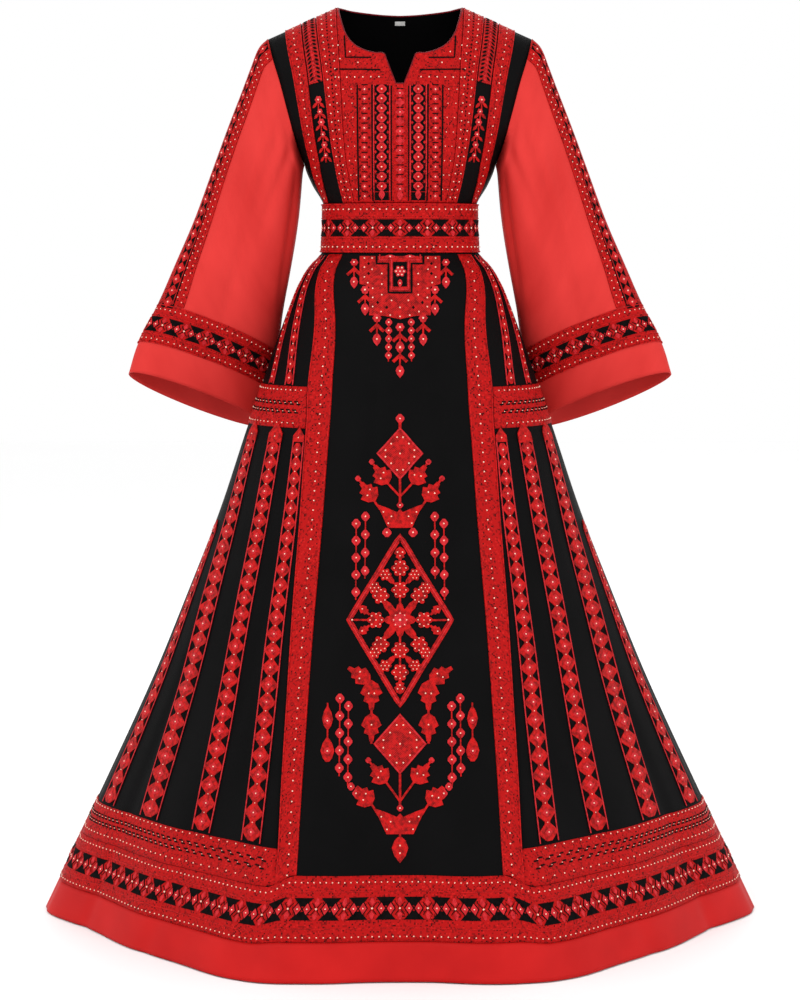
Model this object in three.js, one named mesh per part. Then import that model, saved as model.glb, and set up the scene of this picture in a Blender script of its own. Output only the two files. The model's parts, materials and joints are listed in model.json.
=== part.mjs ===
import * as THREE from 'three';

// Long embroidered dress with flared sleeves. Sizes in millimetres, heights counted from the hem.
// The front faces -Y, the wearer's left is +X, and the origin lies between the shoulder seams.
const shoulderHeight = 1330;
const clothWall = 1.6;
const trimWall = 1.0;
const beltWall = 2.0;
const beltClearance = 1.2;
const gap = 0.3;
const trimLift = 0.4;

const waistSeam = 1029;
const beltTop = 1064.5;
const beltBottom = 992;
const armpit = 1121;
const shoulderTip = 1305.3;
const shoulderTipX = 193.5;
const backNeckHeight = 1343;
const neckSideX = 92.5;
const neckSideHeight = 1349.9;
const shoulderSeamY = 5;
const shoulderRoll = 130;
const armholeFrontDepth = 50;
const armholeBackDepth = 45;
const armholeBlend = 60;
const armholeSteps = 11;
const bindingWidth = 2.2;
const edgeInset = 0.5;
const labelWidth = 15;
const labelDrop = 7;
const labelWall = 0.8;
const labelBelowEdge = 6;
const labelClearance = 2;
const underarmInset = 1.4;
const stripBottomInset = 1;
const bandTopInset = 2;
const stripeTopInset = 3;

const red = { color: 0xc92a27, roughness: 0.62 };
const satin = { color: 0xdf3835, roughness: 0.42 };
const black = { color: 0x100f11, roughness: 0.7 };
const darkRed = { color: 0x6d1512, roughness: 0.6 };
const pale = { color: 0xe4e2de, roughness: 0.7 };

// Bodice sections: half width at the side seam, depth forward and depth backward.
const bodiceSections = [
  { height: 1391, halfWidth: 141, front: 70, back: 70 },
  { height: 1343, halfWidth: 141, front: 76, back: 74 },
  { height: 1276, halfWidth: 141, front: 93, back: 88 },
  { height: 1240, halfWidth: 141, front: 104, back: 95 },
  { height: 1200, halfWidth: 141, front: 114, back: 98 },
  { height: 1160, halfWidth: 141, front: 118, back: 98 },
  { height: 1121, halfWidth: 141, front: 112, back: 94 },
  { height: 1092, halfWidth: 129.8, front: 101, back: 90 },
  { height: 1064.5, halfWidth: 113.8, front: 89, back: 86 },
  { height: 1046, halfWidth: 113, front: 86.5, back: 85 },
  { height: 1029, halfWidth: 111.7, front: 85, back: 85 },
];

// Half distance between the two armholes on the outside.
const armholeWidths = [
  { height: 1391, halfWidth: 212 },
  { height: 1350, halfWidth: 203 },
  { height: 1305.3, halfWidth: 193.5 },
  { height: 1277, halfWidth: 186.5 },
  { height: 1240, halfWidth: 175 },
  { height: 1200, halfWidth: 164.5 },
  { height: 1160, halfWidth: 154 },
  { height: 1137, halfWidth: 147 },
  { height: 1121, halfWidth: 141 },
];

// Columns of the front from the centre to the side: place at waist, chest and upper edge.
const frontColumns = [
  { waist: 0, chest: 0, top: 0, topHeight: 1233 },
  { waist: 6, chest: 6.5, top: 6.5, topHeight: 1233.5 },
  { waist: 14, chest: 14, top: 14.5, topHeight: 1254 },
  { waist: 22, chest: 22, top: 22.6, topHeight: 1276 },
  { waist: 34, chest: 34, top: 36, topHeight: 1278 },
  { waist: 44, chest: 46.5, top: 53, topHeight: 1283 },
  { waist: 50, chest: 55, top: 68, topHeight: 1292.5 },
  { waist: 54, chest: 61, top: 79, topHeight: 1307 },
  { waist: 58, chest: 66.5, top: 85, topHeight: 1324 },
  { waist: 62, chest: 71.5, top: 89, topHeight: 1338.5 },
  { waist: 66, chest: 77, top: 92.5, topHeight: 1349.9 },
  { waist: 74, chest: 85.5, top: 108, topHeight: 0 },
  { waist: 82, chest: 94, top: 123, topHeight: 0 },
  { waist: 104.5, chest: 116, top: 144.5, topHeight: 0 },
  { waist: 111, chest: 130, top: 169, topHeight: 0 },
  { waist: 113.8, chest: 141, top: 193.5, topHeight: 0 },
];

const backColumns = [
  { waist: 0, chest: 0, top: 0, topHeight: backNeckHeight },
  { waist: 20, chest: 22, top: 24, topHeight: 1343.6 },
  { waist: 40, chest: 44, top: 48, topHeight: 1345.2 },
  { waist: 58, chest: 64, top: 72, topHeight: 1347.4 },
  { waist: 77, chest: 81, top: 92.5, topHeight: 1349.9 },
  { waist: 86, chest: 91, top: 108, topHeight: 0 },
  { waist: 95, chest: 101, top: 123, topHeight: 0 },
  { waist: 104, chest: 113, top: 144.5, topHeight: 0 },
  { waist: 110.5, chest: 127, top: 169, topHeight: 0 },
  { waist: 113.8, chest: 141, top: 193.5, topHeight: 0 },
];

const frontNeckColumn = 10;
const frontStripColumns = { inner: [10, 12], outer: [13, 14] };
const backNeckColumn = 4;
const backStripColumns = { inner: [4, 6], outer: [7, 8] };

// Sleeve rings below the armhole: inner and outer fold, half depth and drop of the back edge.
const sleeveSections = [
  { inX: 143.5, inY: 0, inH: 1112, outX: 207, outY: 4, outH: 1291, depth: 50, drop: 0 },
  { inX: 145, inY: 0, inH: 1098, outX: 219, outY: 4, outH: 1262, depth: 51, drop: 0 },
  { inX: 147, inY: 0, inH: 1074, outX: 233, outY: 5, outH: 1226, depth: 52, drop: 0 },
  { inX: 150, inY: 1, inH: 1045, outX: 253, outY: 7, outH: 1176, depth: 54, drop: 0.02 },
  { inX: 155.5, inY: 5, inH: 1008, outX: 277, outY: 9, outH: 1113, depth: 55, drop: 0.05 },
  { inX: 164, inY: 15, inH: 962, outX: 304, outY: 11, outH: 1042, depth: 55, drop: 0.1 },
  { inX: 176, inY: 34, inH: 902, outX: 333, outY: 13, outH: 977, depth: 53, drop: 0.15 },
  { inX: 186, inY: 62, inH: 838, outX: 361, outY: 14, outH: 915, depth: 50, drop: 0.2 },
  { inX: 197, inY: 86, inH: 778, outX: 391, outY: 15, outH: 859, depth: 47, drop: 0.24 },
  { inX: 208, inY: 99, inH: 727, outX: 406, outY: 15, outH: 813, depth: 44, drop: 0.26 },
];
const cuffBandRings = [8, 9];
const sleeveStripHalf = 3;

// Skirt sections: half width at the sides and depth forward and backward.
const skirtSections = [
  { height: 1029, halfWidth: 111.7, halfDepth: 85 },
  { height: 1010, halfWidth: 114.5, halfDepth: 87.5 },
  { height: 991, halfWidth: 116.8, halfDepth: 90 },
  { height: 967, halfWidth: 138, halfDepth: 104 },
  { height: 925, halfWidth: 160, halfDepth: 120 },
  { height: 738, halfWidth: 226.5, halfDepth: 170 },
  { height: 611, halfWidth: 269.5, halfDepth: 202 },
  { height: 484, halfWidth: 320, halfDepth: 238 },
  { height: 356, halfWidth: 373, halfDepth: 277 },
  { height: 184, halfWidth: 453, halfDepth: 334 },
  { height: 0, halfWidth: 541, halfDepth: 385.5 },
];

// Soft folds of the skirt in one quarter: angle from the centre, width and share of the radius.
const skirtFolds = [
  { angle: 11.8, width: 10.2, share: 0.129 },
  { angle: 58.9, width: 38.9, share: -0.346 },
];
const foldStart = 900;
const foldGrowth = 1.2;

// Lines that run down the skirt in one quarter, as angles from the centre at named heights.
const lineHeights = [1029, 991, 892, 800, 740, 440, 175, 0];
const skirtLines = {
  centre: [0, 0, 0, 0, 0, 0, 0, 0],
  bandInner: [45.4, 45.4, 32.7, 27.9, 25.8, 18.2, 12.4, 10.2],
  bandOuter: [61, 61, 45.7, 40.1, 36.1, 24.2, 15.3, 12.6],
  oneStart: [62.6, 62.6, 47.2, 41.1, 36.4, 26.4, 18.2, 14.7],
  oneEnd: [65, 65, 51, 45.1, 41.6, 31.8, 22.3, 17.4],
  twoStart: [66.8, 66.8, 57.4, 49, 47.7, 38.3, 29.8, 25.9],
  twoEnd: [73.4, 73.4, 63.8, 54.7, 56, 45.1, 35.1, 29.5],
  threeStart: [77.2, 77.2, 72.4, 64.7, 66, 54.8, 47.4, 41.5],
  threeEnd: [82.4, 82.4, 78, 69.8, 75.4, 65.3, 56.5, 49.5],
  fourStart: [84.8, 84.8, 83.6, 82.2, 82, 73.7, 70.5, 68],
  fourEnd: [87.6, 87.6, 87.6, 87.4, 86.4, 80, 79, 77],
  side: [90, 90, 90, 90, 90, 90, 90, 90],
};
// Order of the columns; a row with two names is set between them at its share.
const skirtColumns = [
  { line: 'centre' },
  { from: 'centre', to: 'bandInner', share: 0.5 },
  { line: 'bandInner' },
  { line: 'bandOuter' },
  { line: 'oneStart' },
  { line: 'oneEnd' },
  { from: 'oneEnd', to: 'twoStart', share: 0.5 },
  { line: 'twoStart' },
  { line: 'twoEnd' },
  { from: 'twoEnd', to: 'threeStart', share: 0.36 },
  { from: 'twoEnd', to: 'threeStart', share: 0.7 },
  { line: 'threeStart' },
  { line: 'threeEnd' },
  { from: 'threeEnd', to: 'fourStart', share: 0.35 },
  { from: 'threeEnd', to: 'fourStart', share: 0.7 },
  { line: 'fourStart' },
  { line: 'fourEnd' },
  { line: 'side' },
];
const quarter = skirtColumns.length - 1;
const around = quarter * 4;
const bandInner = 2;
const bandOuter = 3;

// Rows of the skirt at the centre and at the sides.
const skirtRows = [
  { name: 'waist', centre: 1029, side: 1029 },
  { name: 'belt', centre: 991, side: 991 },
  { name: 'upperOne', centre: 940, side: 940 },
  { name: 'upperTwo', centre: 892, side: 892 },
  { name: 'upperThree', centre: 846, side: 846 },
  { name: 'hipTop', centre: 800, side: 800 },
  { name: 'hipBottom', centre: 740, side: 740 },
  { name: 'lowerOne', centre: 670, side: 670 },
  { name: 'lowerTwo', centre: 590, side: 590 },
  { name: 'lowerThree', centre: 510, side: 510 },
  { name: 'lowerFour', centre: 430, side: 430 },
  { name: 'lowerFive', centre: 345, side: 345 },
  { name: 'lowerSix', centre: 260, side: 260 },
  { name: 'sideBorder', centre: 175, side: 171 },
  { name: 'border', centre: 139, side: 121 },
  { name: 'borderMiddle', centre: 95, side: 85 },
  { name: 'hemBand', centre: 53, side: 48 },
  { name: 'hemMiddle', centre: 24, side: 24 },
  { name: 'hem', centre: 0, side: 0 },
];

// Stripes below the hip band and above it: columns they lie between and rows they run over.
const lowerStripes = [
  { name: 'one', start: 4, end: 5, top: 'hipBottom' },
  { name: 'two', start: 7, end: 8, top: 'hipBottom' },
  { name: 'three', start: 11, end: 12, top: 'hipBottom' },
  { name: 'four', start: 15, end: 16, top: 'lowerTwo' },
];
const upperStripes = [
  { name: 'inner', start: 7, end: 8 },
  { name: 'outer', start: 11, end: 12 },
];

const clamp = (value, low, high) => Math.min(high, Math.max(low, value));
const mix = (a, b, share) => a + (b - a) * share;
const smooth = (share) => {
  const s = clamp(share, 0, 1);
  return s * s * (3 - 2 * s);
};
const degrees = Math.PI / 180;

// Smooth reading of a table whose places fall from row to row.
function readSmooth(places, values, at) {
  const last = places.length - 1;
  if (at >= places[0]) return values[0];
  if (at <= places[last]) return values[last];
  let row = 0;
  while (places[row + 1] > at) row += 1;
  const slopeAt = (k) => {
    const before = Math.max(0, k - 1);
    const after = Math.min(last, k + 1);
    return (values[after] - values[before]) / (places[after] - places[before]);
  };
  const span = places[row + 1] - places[row];
  const u = (at - places[row]) / span;
  const startSlope = slopeAt(row) * span;
  const endSlope = slopeAt(row + 1) * span;
  const u2 = u * u;
  const u3 = u2 * u;
  return (2 * u3 - 3 * u2 + 1) * values[row] + (u3 - 2 * u2 + u) * startSlope
    + (3 * u2 - 2 * u3) * values[row + 1] + (u3 - u2) * endSlope;
}

function column(rows, key) {
  return rows.map((row) => row[key]);
}

function readRow(rows, key, height) {
  return readSmooth(column(rows, 'height'), column(rows, key), height);
}

// A net is rows of frames; each frame is a point p on the cloth's outer face and its normal n.
function netFrom(points, wraps, outward) {
  const rows = points.length;
  const columns = points[0].length;
  const at = (r, c) => {
    const row = clamp(r, 0, rows - 1);
    const col = wraps ? (c + columns) % columns : clamp(c, 0, columns - 1);
    return points[row][col];
  };
  return points.map((line, r) => line.map((p, c) => {
    const across = new THREE.Vector3().subVectors(at(r, c + 1), at(r, c - 1));
    const along = new THREE.Vector3().subVectors(at(r + 1, c), at(r - 1, c));
    const n = new THREE.Vector3().crossVectors(across, along).normalize();
    if (n.dot(outward(p)) < 0) n.negate();
    return { p: p.clone(), n };
  }));
}

function blend(a, b, share) {
  return {
    p: new THREE.Vector3().lerpVectors(a.p, b.p, share),
    n: new THREE.Vector3().lerpVectors(a.n, b.n, share).normalize(),
  };
}

// Frame moved from a towards b by a distance in millimetres.
function step(a, b, distance) {
  return blend(a, b, distance / a.p.distanceTo(b.p));
}

// Part of a net with its four edges drawn in by insets: left, right, top and bottom.
function cutNet(net, columns, rows, insets, wraps) {
  const count = net[0].length;
  const pick = (r, c) => net[r][((c % count) + count) % count];
  const lines = [];
  for (let r = rows[0]; r <= rows[1]; r += 1) {
    const line = [];
    for (let c = columns[0]; c <= columns[1]; c += 1) line.push(pick(r, c));
    if (!wraps) {
      const end = line.length - 1;
      const first = step(line[0], line[1], insets[0]);
      const final = step(line[end], line[end - 1], insets[1]);
      line[0] = first;
      line[end] = final;
    }
    lines.push(line);
  }
  const end = lines.length - 1;
  const topLine = lines[0].map((frame, c) => step(frame, lines[1][c], insets[2]));
  const bottomLine = lines[end].map((frame, c) => step(frame, lines[end - 1][c], insets[3]));
  lines[0] = topLine;
  lines[end] = bottomLine;
  return lines;
}

// Closed wall between two levels above a net of frames. Both faces share one way of halving
// their cells: it turns over on the wearer's right and from a named row on, so that a trim and
// the panel under it always have the same facets.
function wallGeometry(net, lower, upper, options) {
  const { wraps, mirrorImage, turnedFrom } = options;
  const rows = net.length;
  const columns = net[0].length;
  const positions = [];
  const place = (level) => {
    net.forEach((line) => line.forEach((frame) => {
      const p = frame.p.clone().addScaledVector(frame.n, level);
      positions.push(p.x, p.y, p.z - shoulderHeight);
    }));
  };
  place(upper);
  place(lower);
  const sheetSize = rows * columns;
  const faces = [];
  const quad = (a, b, c, d) => faces.push(a, b, c, a, c, d);
  const turnedQuad = (a, b, c, d) => faces.push(b, c, d, b, d, a);
  const across = wraps ? columns : columns - 1;
  for (let r = 0; r < rows - 1; r += 1) {
    for (let c = 0; c < across; c += 1) {
      const next = (c + 1) % columns;
      const a = r * columns + c;
      const b = r * columns + next;
      const d = (r + 1) * columns + next;
      const e = (r + 1) * columns + c;
      const middleX = net[r][c].p.x + net[r][next].p.x;
      const onRight = middleX < 0 && !mirrorImage;
      const half = onRight !== (r >= turnedFrom) ? turnedQuad : quad;
      half(a, b, d, e);
      half(a + sheetSize, b + sheetSize, d + sheetSize, e + sheetSize);
      for (let k = faces.length - 6; k < faces.length; k += 3) {
        [faces[k], faces[k + 2]] = [faces[k + 2], faces[k]];
      }
    }
  }
  for (let c = 0; c < across; c += 1) {
    const next = (c + 1) % columns;
    const low = (rows - 1) * columns;
    quad(next, c, c + sheetSize, next + sheetSize);
    quad(low + c, low + next, low + next + sheetSize, low + c + sheetSize);
  }
  if (!wraps) {
    for (let r = 0; r < rows - 1; r += 1) {
      const a = r * columns;
      const b = (r + 1) * columns;
      const end = columns - 1;
      quad(a, b, b + sheetSize, a + sheetSize);
      quad(b + end, a + end, a + end + sheetSize, b + end + sheetSize);
    }
  }
  let volume = 0;
  const corner = (i) => new THREE.Vector3(...positions.slice(i * 3, i * 3 + 3));
  for (let i = 0; i < faces.length; i += 3) {
    const [a, b, c] = [corner(faces[i]), corner(faces[i + 1]), corner(faces[i + 2])];
    volume += a.dot(b.cross(c));
  }
  if (volume < 0) faces.reverse();
  const geometry = new THREE.BufferGeometry();
  geometry.setAttribute('position', new THREE.Float32BufferAttribute(positions, 3));
  geometry.setIndex(faces);
  geometry.computeVertexNormals();
  return geometry;
}

const group = new THREE.Group();
group.name = 'embroidered_dress';

const plainOptions = { wraps: false, mirrorImage: false, turnedFrom: Infinity };
const ringOptions = { ...plainOptions, wraps: true };

function addPiece(name, finish, net, lower, upper, options = plainOptions) {
  const geometry = wallGeometry(net, lower, upper, options);
  const material = new THREE.MeshStandardMaterial({
    color: finish.color, roughness: finish.roughness, metalness: 0,
  });
  const mesh = new THREE.Mesh(geometry, material);
  mesh.name = name;
  group.add(mesh);
}

function mirrored(net) {
  return net.map((line) => line.map((frame) => ({
    p: new THREE.Vector3(-frame.p.x, frame.p.y, frame.p.z),
    n: new THREE.Vector3(-frame.n.x, frame.n.y, frame.n.z),
  })));
}

function addPair(name, finish, net, lower, upper, options = plainOptions) {
  addPiece(`${name}_left`, finish, net, lower, upper, options);
  const rightOptions = { ...options, mirrorImage: true };
  addPiece(`${name}_right`, finish, mirrored(net), lower, upper, rightOptions);
}

// Height of the shoulder seam above a place across the shoulders.
const shoulderFall = (neckSideHeight - shoulderTip) / (shoulderTipX - neckSideX);
function shoulderLine(x) {
  return neckSideHeight - (x - neckSideX) * shoulderFall;
}

// Outer face of the bodice at a place across and a height; side is -1 in front and 1 behind.
function bodicePoint(x, height, side) {
  const depth = readRow(bodiceSections, side < 0 ? 'front' : 'back', height);
  const open = smooth((height - armpit) / armholeBlend);
  const reach = height <= armpit
    ? readRow(bodiceSections, 'halfWidth', height)
    : readRow(armholeWidths, 'halfWidth', height);
  const edge = open * (side < 0 ? armholeFrontDepth : armholeBackDepth);
  const share = clamp(1 - (x / reach) ** 2, 0, 1);
  const flat = side * (edge + (depth - edge) * share ** mix(0.5, 1, open));
  const start = shoulderLine(Math.abs(x)) - shoulderRoll;
  const roll = clamp((height - start) / shoulderRoll, 0, 1);
  const y = shoulderSeamY + (flat - shoulderSeamY) * Math.sqrt(1 - roll * roll);
  return new THREE.Vector3(x, y, height);
}

// Frame of the bodice; the slopes are taken along the shoulder seam and down the cloth.
function bodiceFrame(x, height, side) {
  const fall = height > armpit ? shoulderFall : 0;
  const p = bodicePoint(x, height, side);
  const before = Math.max(x, 1) - 1;
  const across = new THREE.Vector3().subVectors(
    bodicePoint(before + 1, height + (x - before - 1) * fall, side),
    bodicePoint(before, height + (x - before) * fall, side));
  const down = new THREE.Vector3().subVectors(p, bodicePoint(x, height - 1, side));
  const n = new THREE.Vector3().crossVectors(across, down).normalize();
  if (side < 0 ? n.y > 0 : n.y < 0) n.negate();
  if (x === 0) n.setX(0).normalize();
  return { p, n };
}

function bodiceNet(columns, side) {
  const last = columns.length - 1;
  const rows = [];
  [waistSeam, beltTop, 1092, armpit].forEach((height) => {
    const share = clamp((height - beltTop) / (armpit - beltTop), 0, 1);
    rows.push(columns.map((line, k) => {
      const x = k === last
        ? readRow(bodiceSections, 'halfWidth', height)
        : mix(line.waist, line.chest, share);
      return [x, height];
    }));
  });
  for (let k = 1; k <= armholeSteps; k += 1) {
    const v = (1 - Math.cos(Math.PI * k / armholeSteps)) / 2;
    const sideHeight = mix(armpit, shoulderTip, v);
    const sideX = readRow(armholeWidths, 'halfWidth', sideHeight);
    const bulge = sideX - mix(columns[last].chest, columns[last].top, v);
    rows.push(columns.map((line) => {
      const top = line.topHeight || shoulderLine(line.top);
      const across = line.chest / columns[last].chest;
      const x = mix(line.chest, line.top, v) + across * bulge;
      return [x, mix(armpit, top, v)];
    }));
  }
  return rows.map((line) => {
    const right = line.map(([x, height]) => bodiceFrame(x, height, side));
    const left = right.slice(1).reverse().map(({ p, n }) => ({
      p: new THREE.Vector3(-p.x, p.y, p.z),
      n: new THREE.Vector3(-n.x, n.y, n.z),
    }));
    return left.concat(right);
  });
}

const frontNet = bodiceNet(frontColumns, -1);
const backNet = bodiceNet(backColumns, 1);
const frontMiddle = frontColumns.length - 1;
const backMiddle = backColumns.length - 1;
const bodiceRows = frontNet.length - 1;
const armpitRow = bodiceRows - armholeSteps;

function shareNormal(...frames) {
  const sum = new THREE.Vector3();
  frames.forEach((frame) => sum.add(frame.n));
  sum.normalize();
  frames.forEach((frame) => frame.n.copy(sum));
}

// Sleeve rings run from the shoulder over the front to the underarm and back behind.
const ringCount = armholeSteps * 2;
function armholePoint(j) {
  const fromTop = j <= armholeSteps ? j : ringCount - j;
  const row = bodiceRows - fromTop;
  const front = frontNet[row][frontMiddle * 2];
  const back = backNet[row][backMiddle * 2];
  if (fromTop === 0 || fromTop === armholeSteps) return blend(front, back, 0.5);
  return j < armholeSteps ? front : back;
}

function sleeveRing(section) {
  const inner = new THREE.Vector3(section.inX, section.inY, section.inH);
  const outer = new THREE.Vector3(section.outX, section.outY, section.outH);
  const centre = new THREE.Vector3().addVectors(inner, outer).multiplyScalar(0.5);
  const half = new THREE.Vector3().subVectors(outer, inner).multiplyScalar(0.5);
  const behind = new THREE.Vector3(-half.y, half.x, 0).normalize();
  behind.z = -section.drop;
  const ring = [];
  for (let j = 0; j < ringCount; j += 1) {
    const turn = 2 * Math.PI * j / ringCount;
    ring.push(centre.clone()
      .addScaledVector(half, Math.cos(turn))
      .addScaledVector(behind, -section.depth * Math.sin(turn)));
  }
  return ring;
}

const sleevePoints = [[], ...sleeveSections.map(sleeveRing)];
for (let j = 0; j < ringCount; j += 1) sleevePoints[0].push(armholePoint(j).p.clone());
const sleeveAxis = sleevePoints.map((ring) => {
  const centre = new THREE.Vector3();
  ring.forEach((p) => centre.addScaledVector(p, 1 / ringCount));
  return centre;
});
const sleeveNet = netFrom(sleevePoints, true, (p) => {
  const nearest = sleeveAxis.reduce((best, c) => (c.distanceTo(p) < best.distanceTo(p) ? c : best));
  return new THREE.Vector3().subVectors(p, nearest);
});

// One shared normal wherever two cloth edges meet, so that their walls end side by side.
for (let j = 1; j < armholeSteps; j += 1) {
  const row = bodiceRows - j;
  shareNormal(frontNet[row][frontMiddle * 2], sleeveNet[0][j]);
  shareNormal(backNet[row][backMiddle * 2], sleeveNet[0][ringCount - j]);
}
const tipFrames = [frontNet[bodiceRows][frontMiddle * 2], backNet[bodiceRows][backMiddle * 2]];
shareNormal(...tipFrames, sleeveNet[0][0]);
const pitFrames = [frontNet[armpitRow][frontMiddle * 2], backNet[armpitRow][backMiddle * 2]];
shareNormal(...pitFrames, sleeveNet[0][armholeSteps]);
for (let r = 0; r < armpitRow; r += 1) {
  shareNormal(frontNet[r][frontMiddle * 2], backNet[r][backMiddle * 2]);
}
for (let k = 0; k < frontMiddle - frontNeckColumn; k += 1) {
  const front = frontNet[bodiceRows][frontMiddle + frontNeckColumn + k];
  const back = backNet[bodiceRows][backMiddle + backNeckColumn + k];
  shareNormal(front, back);
}
[frontNet, backNet].forEach((net) => net.forEach((line) => {
  const end = line.length - 1;
  for (let k = 0; k < end / 2; k += 1) {
    const twin = line[end - k].n;
    line[k].n.set(-twin.x, twin.y, twin.z);
  }
}));

// Skirt net: rows from the waist to the hem, columns once around from the centre front.
function foldFactor(angle, strength) {
  let factor = 1;
  skirtFolds.forEach((fold) => {
    [fold.angle, -fold.angle, 180 - fold.angle, fold.angle - 180].forEach((middle) => {
      const away = ((angle - middle + 540) % 360) - 180;
      factor += strength * fold.share * Math.exp(-((away / fold.width) ** 2));
    });
  });
  return factor;
}

function skirtPoint(angle, height) {
  const strength = clamp((foldStart - height) / foldStart, 0, 1) ** foldGrowth;
  const width = readRow(skirtSections, 'halfWidth', height) / foldFactor(90, strength);
  const depth = readRow(skirtSections, 'halfDepth', height) / foldFactor(0, strength);
  const factor = foldFactor(angle, strength);
  const turn = angle * degrees;
  return new THREE.Vector3(
    width * factor * Math.sin(turn), -depth * factor * Math.cos(turn), height);
}

function columnAngle(index, height) {
  const entry = skirtColumns[index];
  const read = (name) => readSmooth(lineHeights, skirtLines[name], height);
  return entry.line ? read(entry.line) : mix(read(entry.from), read(entry.to), entry.share);
}

const rowOf = (name) => skirtRows.findIndex((row) => row.name === name);
const skirtPoints = skirtRows.map((row) => {
  const line = [];
  for (let c = 0; c < around; c += 1) {
    const half = c <= quarter * 2 ? c : around - c;
    const index = half <= quarter ? half : quarter * 2 - half;
    const height = index <= bandInner ? row.centre : row.side;
    const angle = columnAngle(index, height);
    const fromFront = half <= quarter ? angle : 180 - angle;
    line.push(skirtPoint(c <= quarter * 2 ? fromFront : -fromFront, height));
  }
  return line;
});
const skirtNet = netFrom(skirtPoints, true, (p) => new THREE.Vector3(p.x, p.y, 0));

const seam = gap / 2;

// Bodice front and back; rows rise, so the first row is the waist.
const frontPiece = cutNet(frontNet, [0, frontMiddle * 2], [0, bodiceRows],
  [seam, seam, seam, 0]);
const backPiece = cutNet(backNet, [0, backMiddle * 2], [0, bodiceRows],
  [seam, seam, seam, 0]);
// Edges at the shoulder seams and at the underarm are drawn back.
[[frontPiece, frontNet], [backPiece, backNet]].forEach(([piece, net]) => {
  const neckColumn = net === frontNet ? frontNeckColumn : backNeckColumn;
  const middle = (net[0].length - 1) / 2;
  piece[bodiceRows].forEach((frame, c) => {
    if (Math.abs(c - middle) < neckColumn) return;
    piece[bodiceRows][c] = step(frame, piece[bodiceRows - 1][c], seam);
  });
  [armpitRow, armpitRow + 1].forEach((row) => {
    const end = piece[row].length - 1;
    piece[row][0] = step(piece[row][0], piece[row][1], underarmInset);
    piece[row][end] = step(piece[row][end], piece[row][end - 1], underarmInset);
  });
});
addPiece('bodice_front', black, frontPiece, -clothWall, 0);
addPiece('bodice_back', black, backPiece, -clothWall, 0);

// Sleeves, each one tube from the armhole to the cuff.
const sleevePiece = sleeveNet.map((ring) => ring.slice());
sleevePiece[0] = sleevePiece[0].map((frame, j) => step(frame, sleeveNet[1][j], 2 * gap));
addPair('sleeve', satin, sleevePiece, -clothWall, 0, ringOptions);

const cuffBand = cutNet(sleeveNet, [0, ringCount - 1], cuffBandRings, [0, 0, gap, 0], true);
addPair('cuff_band', red, cuffBand, trimLift, trimLift + trimWall, ringOptions);
const sleeveStrip = cutNet(sleeveNet, [-sleeveStripHalf, sleeveStripHalf], [0, cuffBandRings[0]],
  [0, 0, stripBottomInset, gap]);
addPair('sleeve_strip', red, sleeveStrip, trimLift, trimLift + trimWall);

// Embroidered yoke over the centre front, from the belt to the binding of the neck.
const yokeNet = cutNet(frontNet,
  [frontMiddle - frontNeckColumn, frontMiddle + frontNeckColumn], [1, bodiceRows],
  [gap, gap, stripBottomInset, edgeInset]);
addPiece('yoke_panel', red, yokeNet, trimLift, trimLift + trimWall);

// Strips that run from the belt in front over the shoulder to the belt behind.
function shoulderStrip(frontSpan, backSpan) {
  const front = cutNet(frontNet, frontSpan.map((k) => frontMiddle + k), [1, bodiceRows],
    [seam, seam, stripBottomInset, 0]);
  const back = cutNet(backNet, backSpan.map((k) => backMiddle + k), [1, bodiceRows],
    [seam, seam, stripBottomInset, 0]);
  const top = front[front.length - 1].map((frame, c) => blend(frame, back[back.length - 1][c], 0.5));
  return [...front.slice(0, -1), top, ...back.slice(0, -1).reverse()];
}
const stripOptions = { ...plainOptions, turnedFrom: bodiceRows - 1 };
addPair('chest_strip_inner', red,
  shoulderStrip(frontStripColumns.inner, backStripColumns.inner),
  trimLift, trimLift + trimWall, stripOptions);
addPair('chest_strip_outer', red,
  shoulderStrip(frontStripColumns.outer, backStripColumns.outer),
  trimLift, trimLift + trimWall, stripOptions);

// Binding round the whole neck edge: it stands just beyond the cut edge of the cloth.
function bindingRing() {
  const edge = [];
  for (let k = -frontNeckColumn; k <= frontNeckColumn; k += 1) {
    edge.push(frontNet[bodiceRows][frontMiddle + k]);
  }
  for (let k = backNeckColumn - 1; k > -backNeckColumn; k -= 1) {
    edge.push(backNet[bodiceRows][backMiddle + k]);
  }
  const count = edge.length;
  return [gap, gap + bindingWidth].map((distance) => edge.map((frame, k) => {
    const before = edge[(k + count - 1) % count].p;
    const after = edge[(k + 1) % count].p;
    const along = new THREE.Vector3().subVectors(after, before).normalize();
    const beyond = new THREE.Vector3().crossVectors(frame.n, along).normalize();
    return { p: frame.p.clone().addScaledVector(beyond, distance), n: frame.n.clone() };
  }));
}
addPiece('neck_binding', darkRed, bindingRing(), -clothWall, trimLift + trimWall, ringOptions);

// Small plain label inside the back of the neck.
const labelNet = [0, 1].map((row) => [-1, 0, 1].map((k) => {
  const frame = backNet[bodiceRows][backMiddle];
  const down = new THREE.Vector3().subVectors(backNet[bodiceRows - 1][backMiddle].p, frame.p).normalize();
  const p = frame.p.clone().addScaledVector(down, labelBelowEdge + row * labelDrop);
  p.x = k * labelWidth / 2;
  return { p, n: frame.n.clone() };
}));
const labelTop = -clothWall - labelClearance;
addPiece('neck_label', pale, labelNet, labelTop - labelWall, labelTop);

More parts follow.
